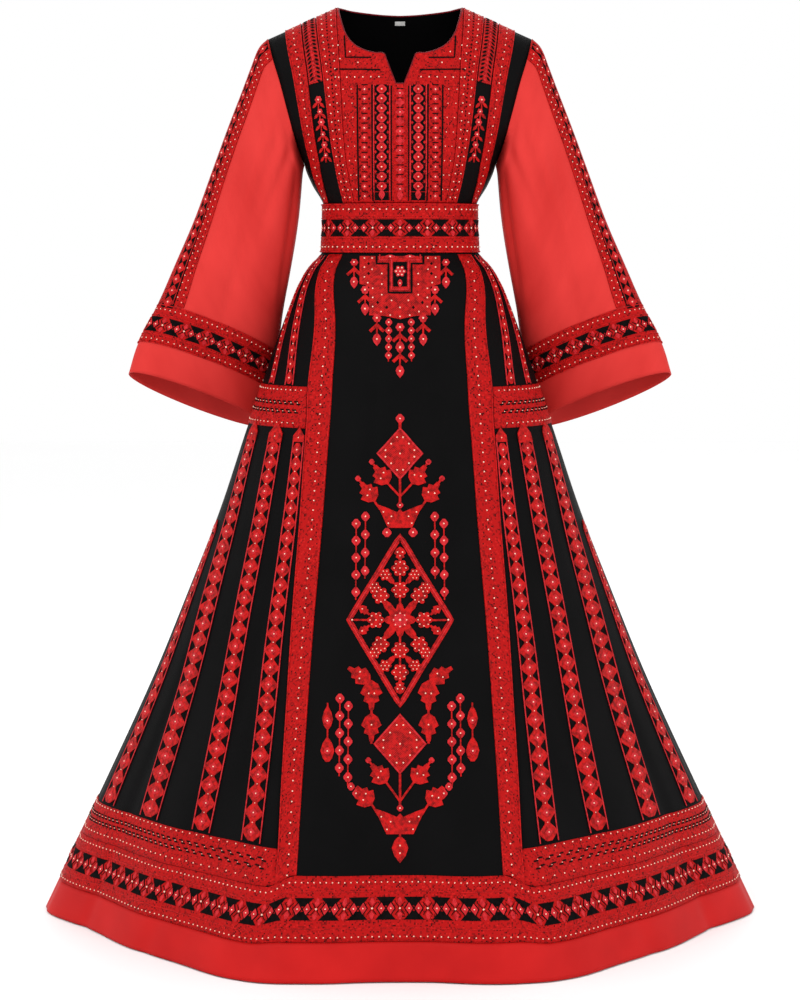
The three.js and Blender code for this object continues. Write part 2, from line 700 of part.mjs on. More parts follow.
// Belt around the waist seam.
const beltColumns = 40;
const beltPoints = [beltTop, waistSeam, beltBottom].map((height) => {
  const rows = height >= waistSeam ? bodiceSections : skirtSections;
  const keys = height >= waistSeam ? ['front', 'back'] : ['halfDepth', 'halfDepth'];
  const width = readRow(rows, 'halfWidth', height);
  return Array.from({ length: beltColumns }, (_, k) => {
    const turn = 2 * Math.PI * k / beltColumns;
    const depth = readRow(rows, Math.cos(turn) > 0 ? keys[0] : keys[1], height);
    return new THREE.Vector3(width * Math.sin(turn), -depth * Math.cos(turn), height);
  });
});
const beltNet = netFrom(beltPoints, true, (p) => new THREE.Vector3(p.x, p.y, 0));
addPiece('belt', red, beltNet, beltClearance, beltClearance + beltWall, ringOptions);

// Skirt panels: centre pieces end under the long bands, side pieces at the side seams.
const hemRow = rowOf('hemBand');
const skirtSpan = [0, hemRow];
const panelInsets = [seam, seam, seam, seam];
addPiece('skirt_front', black,
  cutNet(skirtNet, [-bandOuter, bandOuter], skirtSpan, panelInsets), -clothWall, 0);
addPiece('skirt_back', black,
  cutNet(skirtNet, [quarter * 2 - bandOuter, quarter * 2 + bandOuter], skirtSpan, panelInsets),
  -clothWall, 0);
addPair('skirt_side_front', black,
  cutNet(skirtNet, [bandOuter, quarter], skirtSpan, panelInsets), -clothWall, 0);
addPair('skirt_side_back', black,
  cutNet(skirtNet, [quarter, quarter * 2 - bandOuter], skirtSpan, panelInsets), -clothWall, 0);
addPiece('hem_band', satin,
  cutNet(skirtNet, [0, around - 1], [hemRow, rowOf('hem')], [0, 0, seam, 0], true),
  -clothWall, 0, ringOptions);

// Embroidered border above the hem, all round, and the deeper border of the sides.
addPiece('hem_border', red,
  cutNet(skirtNet, [0, around - 1], [rowOf('border'), hemRow], [0, 0, seam, 0], true),
  trimLift, trimLift + trimWall, ringOptions);
addPair('side_border', red,
  cutNet(skirtNet, [bandOuter, quarter * 2 - bandOuter], [rowOf('sideBorder'), rowOf('border')],
    [seam, seam, 0, seam]), trimLift, trimLift + trimWall);

// Long vertical bands, two in front and two behind, from the belt to the hem border.
const bandRows = [rowOf('belt'), rowOf('border')];
addPair('front_band', red,
  cutNet(skirtNet, [bandInner, bandOuter], bandRows, [0, seam, bandTopInset, seam]),
  trimLift, trimLift + trimWall);
addPair('back_band', red,
  cutNet(skirtNet, [quarter * 2 - bandOuter, quarter * 2 - bandInner], bandRows, [seam, 0, bandTopInset, seam]),
  trimLift, trimLift + trimWall);

// Hip bands lie across the sides from the front band to the back band.
addPair('hip_band', red,
  cutNet(skirtNet, [bandOuter, quarter * 2 - bandOuter], [rowOf('hipTop'), rowOf('hipBottom')],
    [seam, seam, 0, 0]), trimLift, trimLift + trimWall);

function stripe(start, end, rows, insets) {
  const front = cutNet(skirtNet, [start, end], rows, insets);
  const back = cutNet(skirtNet, [quarter * 2 - end, quarter * 2 - start], rows,
    [insets[1], insets[0], insets[2], insets[3]]);
  return { front, back };
}
lowerStripes.forEach((entry) => {
  const rows = [rowOf(entry.top), rowOf('sideBorder')];
  const topInset = entry.top === 'hipBottom' ? stripeTopInset : 0;
  const nets = stripe(entry.start, entry.end, rows, [seam, seam, topInset, gap]);
  addPair(`stripe_${entry.name}_front`, red, nets.front, trimLift, trimLift + trimWall);
  addPair(`stripe_${entry.name}_back`, red, nets.back, trimLift, trimLift + trimWall);
});
upperStripes.forEach((entry) => {
  const nets = stripe(entry.start, entry.end, [rowOf('belt'), rowOf('hipTop')],
    [seam, seam, bandTopInset, gap]);
  addPair(`upper_stripe_${entry.name}_front`, red, nets.front, trimLift, trimLift + trimWall);
  addPair(`upper_stripe_${entry.name}_back`, red, nets.back, trimLift, trimLift + trimWall);
});

export default group;
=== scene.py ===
import bpy
import json
import math
import numpy as np
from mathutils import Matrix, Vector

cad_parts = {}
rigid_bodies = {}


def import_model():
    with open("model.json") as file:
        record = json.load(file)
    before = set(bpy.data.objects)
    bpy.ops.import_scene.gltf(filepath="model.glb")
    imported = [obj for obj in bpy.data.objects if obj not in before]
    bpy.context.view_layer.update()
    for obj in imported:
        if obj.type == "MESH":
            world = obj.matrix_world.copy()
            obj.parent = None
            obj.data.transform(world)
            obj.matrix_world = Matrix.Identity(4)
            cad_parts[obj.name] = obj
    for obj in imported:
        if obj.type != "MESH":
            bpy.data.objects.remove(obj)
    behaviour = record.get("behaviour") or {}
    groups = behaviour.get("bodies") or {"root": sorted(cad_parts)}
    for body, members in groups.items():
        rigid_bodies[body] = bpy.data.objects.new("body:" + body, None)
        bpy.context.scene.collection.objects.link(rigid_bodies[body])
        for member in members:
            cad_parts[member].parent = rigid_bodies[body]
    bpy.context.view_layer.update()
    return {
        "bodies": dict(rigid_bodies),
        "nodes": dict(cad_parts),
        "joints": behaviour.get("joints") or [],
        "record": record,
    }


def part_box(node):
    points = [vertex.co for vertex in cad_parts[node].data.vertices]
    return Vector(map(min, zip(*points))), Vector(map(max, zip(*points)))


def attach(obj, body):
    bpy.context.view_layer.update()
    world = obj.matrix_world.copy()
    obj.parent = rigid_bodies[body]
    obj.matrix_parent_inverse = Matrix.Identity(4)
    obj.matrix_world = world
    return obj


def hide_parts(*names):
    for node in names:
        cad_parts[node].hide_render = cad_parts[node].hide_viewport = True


# Embroidered dress. Shapes are worked out in millimetres above the hem and written in metres.
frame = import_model()
originHeight = 1330.0
degree = math.pi / 180


def readSmooth(places, values, at):
    places = np.asarray(places, float)
    values = np.asarray(values, float)
    at = np.clip(np.asarray(at, float), places[-1], places[0])
    slopes = np.empty_like(values)
    slopes[1:-1] = (values[2:] - values[:-2]) / (places[2:] - places[:-2])
    slopes[0] = (values[1] - values[0]) / (places[1] - places[0])
    slopes[-1] = (values[-1] - values[-2]) / (places[-1] - places[-2])
    k = np.clip(np.searchsorted(-places, -at, side="right") - 1, 0, len(places) - 2)
    span = places[k + 1] - places[k]
    u = (at - places[k]) / span
    u2, u3 = u * u, u * u * u
    return ((2 * u3 - 3 * u2 + 1) * values[k] + (u3 - 2 * u2 + u) * slopes[k] * span
            + (3 * u2 - 2 * u3) * values[k + 1] + (u3 - u2) * slopes[k + 1] * span)


def smooth(share):
    s = np.clip(share, 0, 1)
    return s * s * (3 - 2 * s)


def mix(a, b, share):
    return a + (b - a) * share


skirtForm = {
    "height": [1029, 1010, 991, 967, 925, 738, 611, 484, 356, 184, 0],
    "halfWidth": [111.7, 114.5, 116.8, 138, 160, 226.5, 269.5, 320, 373, 453, 541],
    "halfDepth": [85, 87.5, 90, 104, 120, 170, 202, 238, 277, 334, 385.5],
    "folds": [(11.8, 10.2, 0.129), (58.9, 38.9, -0.346)],  # angle, width, share
    "foldStart": 900.0,
    "foldGrowth": 1.2,
    "creases": [  # angle from the centre front, width in degrees, depth in mm, top, strength at the hem
        (-9, 2.2, 2.6, 930, 1.0), (-4, 1.6, 1.5, 820, 0.7), (3.5, 1.9, 2.1, 900, 1.0),
        (11.5, 2.4, 2.5, 960, 1.0), (-15, 1.5, 1.4, 700, 0.8), (15.4, 1.4, 1.2, 760, 0.9),
        (33, 2.0, 2.2, 720, 0.9), (-34, 2.4, 2.0, 690, 1.1), (60, 3.0, 2.6, 700, 1.1),
        (-62, 2.6, 2.4, 660, 0.9), (86, 3.0, 2.4, 640, 1.0), (-87, 2.6, 2.8, 690, 0.9),
        (118, 2.8, 2.6, 700, 1.0), (-121, 3.0, 2.2, 680, 1.0), (147, 2.2, 2.4, 730, 0.9),
        (-144, 2.4, 2.6, 700, 1.1), (167, 2.0, 2.2, 940, 1.0), (172, 1.6, 1.8, 860, 0.8),
        (-176, 2.2, 2.5, 930, 1.0), (-168, 1.8, 2.1, 900, 0.9)],
}

lineHeights = [1029, 991, 892, 800, 740, 440, 175, 0]
skirtLines = {
    "bandInner": [45.4, 45.4, 32.7, 27.9, 25.8, 18.2, 12.4, 10.2],
    "bandOuter": [61, 61, 45.7, 40.1, 36.1, 24.2, 15.3, 12.6],
    "oneStart": [62.6, 62.6, 47.2, 41.1, 36.4, 26.4, 18.2, 14.7],
    "oneEnd": [65, 65, 51, 45.1, 41.6, 31.8, 22.3, 17.4],
    "twoStart": [66.8, 66.8, 57.4, 49, 47.7, 38.3, 29.8, 25.9],
    "twoEnd": [73.4, 73.4, 63.8, 54.7, 56, 45.1, 35.1, 29.5],
    "threeStart": [77.2, 77.2, 72.4, 64.7, 66, 54.8, 47.4, 41.5],
    "threeEnd": [82.4, 82.4, 78, 69.8, 75.4, 65.3, 56.5, 49.5],
    "fourStart": [84.8, 84.8, 83.6, 82.2, 82, 73.7, 70.5, 68],
    "fourEnd": [87.6, 87.6, 87.6, 87.4, 86.4, 80, 79, 77],
}
sides = {  # where a quarter of the skirt lies, as the angle once round from the centre front
    "FrontLeft": lambda t: t,
    "FrontRight": lambda t: -t,
    "BackLeft": lambda t: 180 - t,
    "BackRight": lambda t: t - 180,
}


def angleFrom(angle, middle):
    # the difference between two angles, from -180 to 180
    return (angle - middle + 540) % 360 - 180


def foldFactor(angle, strength):
    factor = 1.0
    for middle, width, share in skirtForm["folds"]:
        for m in (middle, -middle, 180 - middle, middle - 180):
            factor = factor + strength * share * np.exp(-(angleFrom(angle, m) / width) ** 2)
    return factor


def skirtPoint(angle, height):
    angle, height = np.broadcast_arrays(np.asarray(angle, float), np.asarray(height, float))
    start = skirtForm["foldStart"]
    strength = np.clip((start - height) / start, 0, 1) ** skirtForm["foldGrowth"]
    width = readSmooth(skirtForm["height"], skirtForm["halfWidth"], height) / foldFactor(90, strength)
    depth = readSmooth(skirtForm["height"], skirtForm["halfDepth"], height) / foldFactor(0, strength)
    factor = foldFactor(angle, strength)
    push = 0.0
    for middle, spread, deep, top, growth in skirtForm["creases"]:
        away = angleFrom(angle, middle)
        reach = smooth((top - height) / 260)
        swell = mix(1.0, growth, np.clip((top - height) / top, 0, 1))
        push = push - deep * reach * swell * np.exp(-(away / spread) ** 2)
    turn = angle * degree
    x = (width * factor + push) * np.sin(turn)
    y = -(depth * factor + push) * np.cos(turn)
    return np.stack([x, y, height], axis=-1)


def lineAngle(name, height):
    return readSmooth(lineHeights, skirtLines[name], height)


def skirtStrip(fromLine, toLine, side):
    def surface(across, height):
        angle = mix(lineAngle(fromLine, height), lineAngle(toLine, height), across)
        return skirtPoint(sides[side](angle), height)
    return surface


# Rows that lie lower over the sides than over the centre: height at the centre, height at the sides.
skirtRows = {"sideBorder": (175, 171), "border": (139, 121), "hemBand": (53, 48), "hem": (0, 0)}
rowFall = {"from": 12.0, "over": 3.1}  # degrees from the centre where the rows fall


def rowHeight(name, angle):
    centre, side = skirtRows[name]
    fromCentre = np.abs((np.asarray(angle, float) + 90) % 180 - 90)
    return mix(centre, side, smooth((fromCentre - rowFall["from"]) / rowFall["over"]))


def skirtRing(topRow, bottomRow):
    def surface(angle, down):
        return skirtPoint(angle, mix(rowHeight(topRow, angle), rowHeight(bottomRow, angle), down))
    return surface


frontMap = {"low": 90.0, "high": 1031.0, "rowStep": 2.0, "reach": 130.0}


def readFrontAngles():
    # the angle at each mm across the front, row by row, so that a place across is found at once
    heights = np.arange(frontMap["low"], frontMap["high"], frontMap["rowStep"])
    across, angles = np.arange(-frontMap["reach"], frontMap["reach"] + 1), np.linspace(-75, 75, 601)
    reached = skirtPoint(angles[None], heights[:, None])[..., 0]
    return np.array([np.interp(across, row, angles) for row in reached])


frontAngles = readFrontAngles()


def frontPlace(x, height):
    # the front centre panel by distance across in mm
    x, height = np.broadcast_arrays(np.asarray(x, float), np.asarray(height, float))
    row = np.clip((height - frontMap["low"]) / frontMap["rowStep"], 0, frontAngles.shape[0] - 1.001)
    column = np.clip(x + frontMap["reach"], 0, frontAngles.shape[1] - 1.001)
    r, c = row.astype(int), column.astype(int)
    upper = mix(frontAngles[r, c], frontAngles[r, c + 1], column - c)
    lower = mix(frontAngles[r + 1, c], frontAngles[r + 1, c + 1], column - c)
    return skirtPoint(mix(upper, lower, row - r), height)


bodiceForm = {
    "height": [1391, 1343, 1276, 1240, 1200, 1160, 1121, 1092, 1064.5, 1046, 1029],
    "halfWidth": [141, 141, 141, 141, 141, 141, 141, 129.8, 113.8, 113, 111.7],
    "front": [70, 76, 93, 104, 114, 118, 112, 101, 89, 86.5, 85],
    "back": [70, 74, 88, 95, 98, 98, 94, 90, 86, 85, 85],
    "armholeHeight": [1391, 1350, 1305.3, 1277, 1240, 1200, 1160, 1137, 1121],
    "armholeWidth": [212, 203, 193.5, 186.5, 175, 164.5, 154, 147, 141],
    "armpit": 1121.0, "waist": 1029.0, "beltTop": 1064.5,
    "tipX": 193.5, "tipHeight": 1305.3, "neckX": 92.5, "neckHeight": 1349.9,
    "seamY": 5.0, "roll": 130.0, "armholeDepth": {-1: 50.0, 1: 45.0}, "blend": 60.0,
}
frontColumns = [  # place across at the waist, the chest and the upper edge, and the edge's height
    (0, 0, 0, 1233), (6, 6.5, 6.5, 1233.5), (14, 14, 14.5, 1254), (22, 22, 22.6, 1276), (34, 34, 36, 1278),
    (44, 46.5, 53, 1283), (50, 55, 68, 1292.5), (54, 61, 79, 1307), (58, 66.5, 85, 1324),
    (62, 71.5, 89, 1338.5),
    (66, 77, 92.5, 1349.9), (74, 85.5, 108, 0), (82, 94, 123, 0), (104.5, 116, 144.5, 0), (111, 130, 169, 0),
    (113.8, 141, 193.5, 0)]
backColumns = [
    (0, 0, 0, 1343), (20, 22, 24, 1343.6), (40, 44, 48, 1345.2), (58, 64, 72, 1347.4),
    (77, 81, 92.5, 0), (86, 91, 108, 0), (95, 101, 123, 0), (104, 113, 144.5, 0), (110.5, 127, 169, 0),
    (113.8, 141, 193.5, 0)]
shoulderFall = ((bodiceForm["neckHeight"] - bodiceForm["tipHeight"])
                / (bodiceForm["tipX"] - bodiceForm["neckX"]))


def shoulderLine(x):
    return bodiceForm["neckHeight"] - (np.abs(x) - bodiceForm["neckX"]) * shoulderFall


def bodicePlace(x, height, side):
    x, height = np.broadcast_arrays(np.asarray(x, float), np.asarray(height, float))
    f = bodiceForm
    depth = readSmooth(f["height"], f["front" if side < 0 else "back"], height)
    opened = smooth((height - f["armpit"]) / f["blend"])
    reach = np.where(height <= f["armpit"], readSmooth(f["height"], f["halfWidth"], height),
                     readSmooth(f["armholeHeight"], f["armholeWidth"], height))
    edge = opened * f["armholeDepth"][side]
    share = np.clip(1 - (x / reach) ** 2, 0, 1)
    flat = side * (edge + (depth - edge) * share ** mix(0.5, 1.0, opened))
    start = shoulderLine(x) - f["roll"]
    roll = np.clip((height - start) / f["roll"], 0, 1)
    y = f["seamY"] + (flat - f["seamY"]) * np.sqrt(1 - roll * roll)
    return np.stack([x, y, height], axis=-1)


def smoothColumn(values, at, straightTo, straightFrom):
    # Smooth between the named columns, straight before and after them.
    count = np.arange(len(values), dtype=float)
    rounded = readSmooth(-count, values, -at)
    straight = np.interp(at, count, values)
    return np.where((at <= straightTo) | (at >= straightFrom), straight, rounded)


def bodiceSheet(columns, side, straightTo, straightFrom):
    table = np.array(columns, float)
    free = table[:, 3] == 0
    table[free, 3] = shoulderLine(table[free, 2])
    last = len(columns) - 1
    f = bodiceForm

    def surface(column, up):
        # column runs from -last to last, up from 0 at the waist over 1 at the armpit to 2 at the top
        column, up = np.broadcast_arrays(np.asarray(column, float), np.asarray(up, float))
        k = np.abs(column)
        waist = np.interp(k, np.arange(last + 1), table[:, 0])
        chest = np.interp(k, np.arange(last + 1), table[:, 1])
        top = smoothColumn(table[:, 2], k, straightTo, straightFrom)
        topHeight = smoothColumn(table[:, 3], k, straightTo, straightFrom)
        low = np.clip(up, 0, 1)
        height = mix(f["waist"], f["armpit"], low)
        share = np.clip((height - f["beltTop"]) / (f["armpit"] - f["beltTop"]), 0, 1)
        x = mix(waist, chest, share)
        sideX = readSmooth(f["height"], f["halfWidth"], height)
        ratio = np.clip(k / last, 0, 1) ** 6
        x = x + ratio * (sideX - mix(table[last, 0], table[last, 1], share))
        v = (1 - np.cos(np.pi * np.clip(up - 1, 0, 1))) / 2
        sideHeight = mix(f["armpit"], f["tipHeight"], v)
        bulge = (readSmooth(f["armholeHeight"], f["armholeWidth"], sideHeight)
                 - mix(table[last, 1], table[last, 2], v))
        upperX = mix(chest, top, v) + chest / table[last, 1] * bulge
        upperHeight = mix(f["armpit"], topHeight, v)
        above = up > 1
        x = np.where(above, upperX, x)
        height = np.where(above, upperHeight, height)
        return bodicePlace(np.sign(column) * x, height, side)
    return surface


bodiceFront = bodiceSheet(frontColumns, -1, 3.0, 10.0)
bodiceBack = bodiceSheet(backColumns, 1, 0.0, 4.0)


def chestFront(x, height):
    return bodicePlace(x, height, -1)


sleeveForm = {  # inner fold x, y, height; outer fold x, y, height; half depth; drop of the back edge
    "rings": [
        (143.5, 0, 1112, 207, 4, 1291, 50, 0), (145, 0, 1098, 219, 4, 1262, 51, 0),
        (147, 0, 1074, 233, 5, 1226, 52, 0), (150, 1, 1045, 253, 7, 1176, 54, 0.02),
        (155.5, 5, 1008, 277, 9, 1113, 55, 0.05), (164, 15, 962, 304, 11, 1042, 55, 0.1),
        (176, 34, 902, 333, 13, 977, 53, 0.15), (186, 62, 838, 361, 14, 915, 50, 0.2),
        (197, 86, 778, 391, 15, 859, 47, 0.24), (208, 99, 727, 406, 15, 813, 44, 0.26)],
    "creases": [  # turn round the sleeve, width, depth in mm, first and last ring, drift per ring
        (104, 11, 5.5, 1.2, 8.6, -2.2), (68, 9, 3.2, 3.0, 9.4, 1.2), (132, 8, 5.0, 0.6, 6.5, -5.0),
        (84, 7, 2.2, 4.5, 9.9, 0.4), (150, 9, 4.0, 1.5, 7.5, 1.0), (238, 11, 5.0, 1.4, 8.8, 2.0),
        (285, 9, 3.4, 2.6, 9.5, -1.0), (262, 8, 2.4, 4.2, 9.9, 0.6), (216, 9, 4.4, 0.8, 6.8, 3.5)],
    "last": 10.0, "bandTop": 8.0,
}


def armholeRing(turn):
    up = (1 + np.cos(turn * degree)) / 2
    height = mix(bodiceForm["armpit"], bodiceForm["tipHeight"], up)
    x = readSmooth(bodiceForm["armholeHeight"], bodiceForm["armholeWidth"], height)
    front = bodicePlace(x, height, -1)
    back = bodicePlace(x, height, 1)
    return np.where((turn % 360 < 180)[..., None], front, back)


def sleeveRings(turn):
    rings = [armholeRing(turn)]
    for ix, iy, ih, ox, oy, oh, deep, drop in sleeveForm["rings"]:
        inner, outer = np.array([ix, iy, ih], float), np.array([ox, oy, oh], float)
        half = (outer - inner) / 2
        behind = np.array([-half[1], half[0], 0.0])
        behind /= np.linalg.norm(behind)
        behind[2] = -drop
        rings.append((inner + outer) / 2 + np.cos(turn * degree)[..., None] * half
                     - deep * np.sin(turn * degree)[..., None] * behind)
    return np.stack(rings)


def sleeveSurface(turn, ring):
    turn, ring = np.broadcast_arrays(np.asarray(turn, float), np.asarray(ring, float))
    shape = turn.shape
    turn, ring = turn.ravel(), np.clip(ring.ravel(), 0, sleeveForm["last"])
    rings = sleeveRings(turn)
    k = np.clip(ring.astype(int), 0, len(rings) - 2)
    u = (ring - k)[:, None]
    pick = np.arange(len(turn))
    a, b = rings[k, pick], rings[k + 1, pick]
    before = np.where((k > 0)[:, None], rings[np.maximum(k - 1, 0), pick], a - (b - a))
    after = np.where((k < len(rings) - 2)[:, None], rings[np.minimum(k + 2, len(rings) - 1), pick],
                     b + (b - a))
    m0, m1 = (b - before) / 2, (after - a) / 2
    p = ((2 * u**3 - 3 * u**2 + 1) * a + (u**3 - 2 * u**2 + u) * m0
         + (3 * u**2 - 2 * u**3) * b + (u**3 - u**2) * m1)
    middle = rings.mean(axis=1)[k]
    away = p - middle
    away[:, 2] = 0
    away /= np.maximum(np.linalg.norm(away, axis=1), 1)[:, None]
    push = np.zeros(len(turn))
    for at, spread, deep, first, final, drift in sleeveForm["creases"]:
        off = angleFrom(turn, at + drift * (ring - first))
        reach = smooth((ring - first) / 1.6) * smooth((final - ring) / 1.6)
        push -= deep * reach * np.exp(-(off / spread) ** 2)
    return (p + away * push[:, None]).reshape(shape + (3,))


beltLook = {
    "pitch": 41.0, "high": 24.5, "stonePitch": 9.5, "middle": (0, 0, 1029), "away": 1.2, "lift": 1.0,
    "cloth": (1064.2, 992.4, 26), "stoneRows": (1055.5, 1001.0), "motifs": 1028.5,  # heights
    "lines": ((1063.0, 1.6), (1043.0, 1.5), (1014.0, 1.5), (993.8, 1.6)),  # height, width
}


def beltSurface(angle, height):
    angle, height = np.broadcast_arrays(np.asarray(angle, float), np.asarray(height, float))
    f = bodiceForm
    upper = height >= f["waist"]
    width = np.where(upper, readSmooth(f["height"], f["halfWidth"], height),
                     readSmooth(skirtForm["height"], skirtForm["halfWidth"], height))
    turn = angle * degree
    depthUpper = np.where(np.cos(turn) > 0, readSmooth(f["height"], f["front"], height),
                          readSmooth(f["height"], f["back"], height))
    depth = np.where(upper, depthUpper, readSmooth(skirtForm["height"], skirtForm["halfDepth"], height))
    away = beltLook["away"]
    return np.stack([(width + away) * np.sin(turn), -(depth + away) * np.cos(turn), height], axis=-1)


class Shading:
    # One material, with short ways to add its nodes.
    def __init__(self, name, roughness, specular=0.5):
        self.material = bpy.data.materials.new(name)
        self.material.use_nodes = True
        self.nodes, self.links = self.material.node_tree.nodes, self.material.node_tree.links
        self.shader = self.nodes["Principled BSDF"]
        self.shader.inputs["Roughness"].default_value = roughness
        self.shader.inputs["Specular IOR Level"].default_value = specular

    def coords(self, kind):
        return self.nodes.new("ShaderNodeTexCoord").outputs[kind]

    def math(self, operation, *values):
        node = self.nodes.new("ShaderNodeMath")
        node.operation = operation
        for k, value in enumerate(values):
            if isinstance(value, (int, float)):
                node.inputs[k].default_value = value
            else:
                self.links.new(value, node.inputs[k])
        return node.outputs[0]

    def texture(self, kind, source, **values):
        node = self.nodes.new("ShaderNodeTex" + kind)
        for name, value in values.items():
            node.inputs[name].default_value = value
        if source is not None:
            self.links.new(source, node.inputs["Vector"])
        return node

    def colour(self, source, stops, constant=False):
        node = self.nodes.new("ShaderNodeValToRGB")
        if constant:
            node.color_ramp.interpolation = "CONSTANT"
        while len(node.color_ramp.elements) < len(stops):
            node.color_ramp.elements.new(0.5)
        for element, (at, colour) in zip(node.color_ramp.elements, stops):
            element.position = at
            element.color = (*colour, 1)
        self.links.new(source, node.inputs[0])
        self.links.new(node.outputs[0], self.shader.inputs["Base Color"])

    def bump(self, height, strength, distance):
        node = self.nodes.new("ShaderNodeBump")
        node.inputs["Strength"].default_value = strength
        node.inputs["Distance"].default_value = distance
        self.links.new(height, node.inputs["Height"])
        self.links.new(node.outputs[0], self.shader.inputs["Normal"])


def plainWeave(name, colours, weave, specular, depth):
    # Woven cloth: threads over and under each other, with a faint cloud of colour.
    look = Shading(name, 0.55, specular)
    coords = look.coords("UV")
    parts = look.nodes.new("ShaderNodeSeparateXYZ")
    look.links.new(coords, parts.inputs[0])
    turn = math.pi * 2 / weave
    across, along = [look.math("SINE", look.math("MULTIPLY", parts.outputs[k], turn)) for k in (0, 1)]
    weft = look.math("MULTIPLY", across, along)
    cloud = look.texture("Noise", coords, Scale=9, Detail=3)
    shade = look.math("ADD", cloud.outputs[0], look.math("MULTIPLY", weft, 0.05))
    look.colour(shade, [(0.25, colours[0]), (0.75, colours[1])])
    look.bump(weft, depth, 0.0004)
    return look.material


def crossStitch(name, colours, shares, cell, lattice):
    # Cross-stitch: one colour to each counted cell, a small lattice of darker cells and raised crosses.
    look = Shading(name, 0.6, 0.08)
    parts = look.nodes.new("ShaderNodeSeparateXYZ")
    look.links.new(look.coords("UV"), parts.inputs[0])
    both = look.nodes.new("ShaderNodeCombineXYZ")
    away, folded = [], []
    for k in (0, 1):
        scaled = look.math("DIVIDE", parts.outputs[k], cell)
        count = look.math("FLOOR", scaled)
        look.links.new(count, both.inputs[k])
        away.append(look.math("ABSOLUTE", look.math("SUBTRACT", look.math("FRACT", scaled), 0.5)))
        folded.append(look.math("PINGPONG", count, lattice))
    noise = look.texture("WhiteNoise", None)
    noise.noise_dimensions = "2D"
    look.links.new(both.outputs[0], noise.inputs["Vector"])
    onRing = look.math("COMPARE", look.math("ADD", *folded), float(lattice), 0.6)
    value = look.math("SUBTRACT", noise.outputs[0], look.math("MULTIPLY", onRing, shares[1]))
    look.colour(value, list(zip((0.0, shares[0], shares[1], 0.93), colours)), True)
    look.bump(look.math("SUBTRACT", 0.5, look.math("ABSOLUTE", look.math("SUBTRACT", *away))), 0.55, 0.0007)
    return look.material


def stitchedThread(name, colours, scale, roughness=0.55, specular=0.12):
    # Raised satin stitch: fine threads side by side, read from the object's own coordinates.
    look = Shading(name, roughness, specular)
    coords = look.coords("Object")
    wave = look.texture("Wave", coords, Scale=scale, Distortion=0.6)
    wave.wave_type = "BANDS"
    wave.bands_direction = "DIAGONAL"
    grain = look.texture("Noise", coords, Scale=170)
    value = look.math("ADD", look.math("MULTIPLY", wave.outputs[1], 0.2),
                      look.math("MULTIPLY", grain.outputs[0], 0.8))
    look.colour(value, [(0.40, colours[0]), (0.52, colours[1])])
    look.bump(wave.outputs[1], 0.5, 0.0005)
    return look.material


def cutStone(name, colours):
    # Small cut stones: pale and glossy, each face catching a slightly different tone.
    look = Shading(name, 0.12, 0.9)
    noise = look.texture("Noise", look.coords("Object"), Scale=700)
    look.colour(noise.outputs[0], [(0.3, colours[0]), (0.6, colours[1])])
    return look.material


clothColours = {
    "satin": ((0.50, 0.020, 0.017), (0.66, 0.038, 0.033)),
    "hemSatin": ((0.40, 0.004, 0.004), (0.54, 0.009, 0.008)),
    "black": ((0.0014, 0.0013, 0.0014), (0.0026, 0.0024, 0.0026)),
    "stitches": ((0.06, 0.001, 0.001), (0.22, 0.003, 0.003), (0.40, 0.004, 0.004), (0.52, 0.009, 0.008)),
    "thread": ((0.17, 0.002, 0.002), (0.53, 0.005, 0.005)),
    "rose": ((0.34, 0.006, 0.010), (0.58, 0.020, 0.026)),
    "stitchTile": ((0.17, 0.002, 0.002), (0.48, 0.006, 0.006)),
    "blackThread": ((0.002, 0.0016, 0.0017), (0.005, 0.004, 0.004)),
    "binding": ((0.09, 0.003, 0.006), (0.19, 0.005, 0.010)),
    "label": ((0.62, 0.61, 0.59), (0.80, 0.79, 0.77)),
    "stone": ((0.86, 0.40, 0.28), (0.96, 0.70, 0.54)),
}
materials = {
    "hemSatin": plainWeave("deepRedSatin", clothColours["hemSatin"], 0.0012, 0.12, 0.10),
    "satin": plainWeave("redSatin", clothColours["satin"], 0.0012, 0.12, 0.10),
    "black": plainWeave("blackCloth", clothColours["black"], 0.0016, 0.045, 0.25),
    "stitches": crossStitch("redCrossStitch", clothColours["stitches"], (0.012, 0.18), 0.0021, 6),
    "thread": stitchedThread("redThread", clothColours["thread"], 260),
    "rose": stitchedThread("roseThread", clothColours["rose"], 260),
    "blackThread": stitchedThread("blackThread", clothColours["blackThread"], 260, 0.7, 0.03),
    "binding": stitchedThread("bindingCloth", clothColours["binding"], 300),
    "label": stitchedThread("labelCloth", clothColours["label"], 500, 0.7),
    "stitchTile": stitchedThread("redStitchTile", clothColours["stitchTile"], 190),
    "stone": cutStone("cutStone", clothColours["stone"]),
}
print("materials ready")


def unit(vectors):
    return vectors / np.maximum(np.linalg.norm(vectors, axis=-1), 1e-9)[..., None]


def framesOf(surface, u, v, stepU, stepV):
    # Points, normals and lengths of one step each way, of a surface.
    p = surface(u, v)
    du = surface(u + stepU, v) - surface(u - stepU, v)
    dv = surface(u, v + stepV) - surface(u, v - stepV)
    lengthU, lengthV = [np.linalg.norm(d, axis=-1) / (2 * step) for d, step in ((du, stepU), (dv, stepV))]
    return p, unit(np.cross(du, dv)), lengthU, lengthV


def place(u, v):
    # Places on a surface, from two lists or from a list and a number.
    return np.stack(np.broadcast_arrays(np.asarray(u, float), np.asarray(v, float)), axis=-1)


def travel(points):
    # Length covered at each point of a line of points.
    return np.concatenate([[0], np.cumsum(np.linalg.norm(np.diff(points, axis=0), axis=1))])


def evenPlaces(surface, angles, across):
    # A way to space things evenly by true length round a closed row, and the length of the row.
    travelled = travel(surface(angles, np.full(len(angles), across)))
    total = travelled[-1]

    def along(count, phase=0.0):
        return np.interp((np.arange(count) + phase) / count * total % total, travelled, angles)
    return along, total


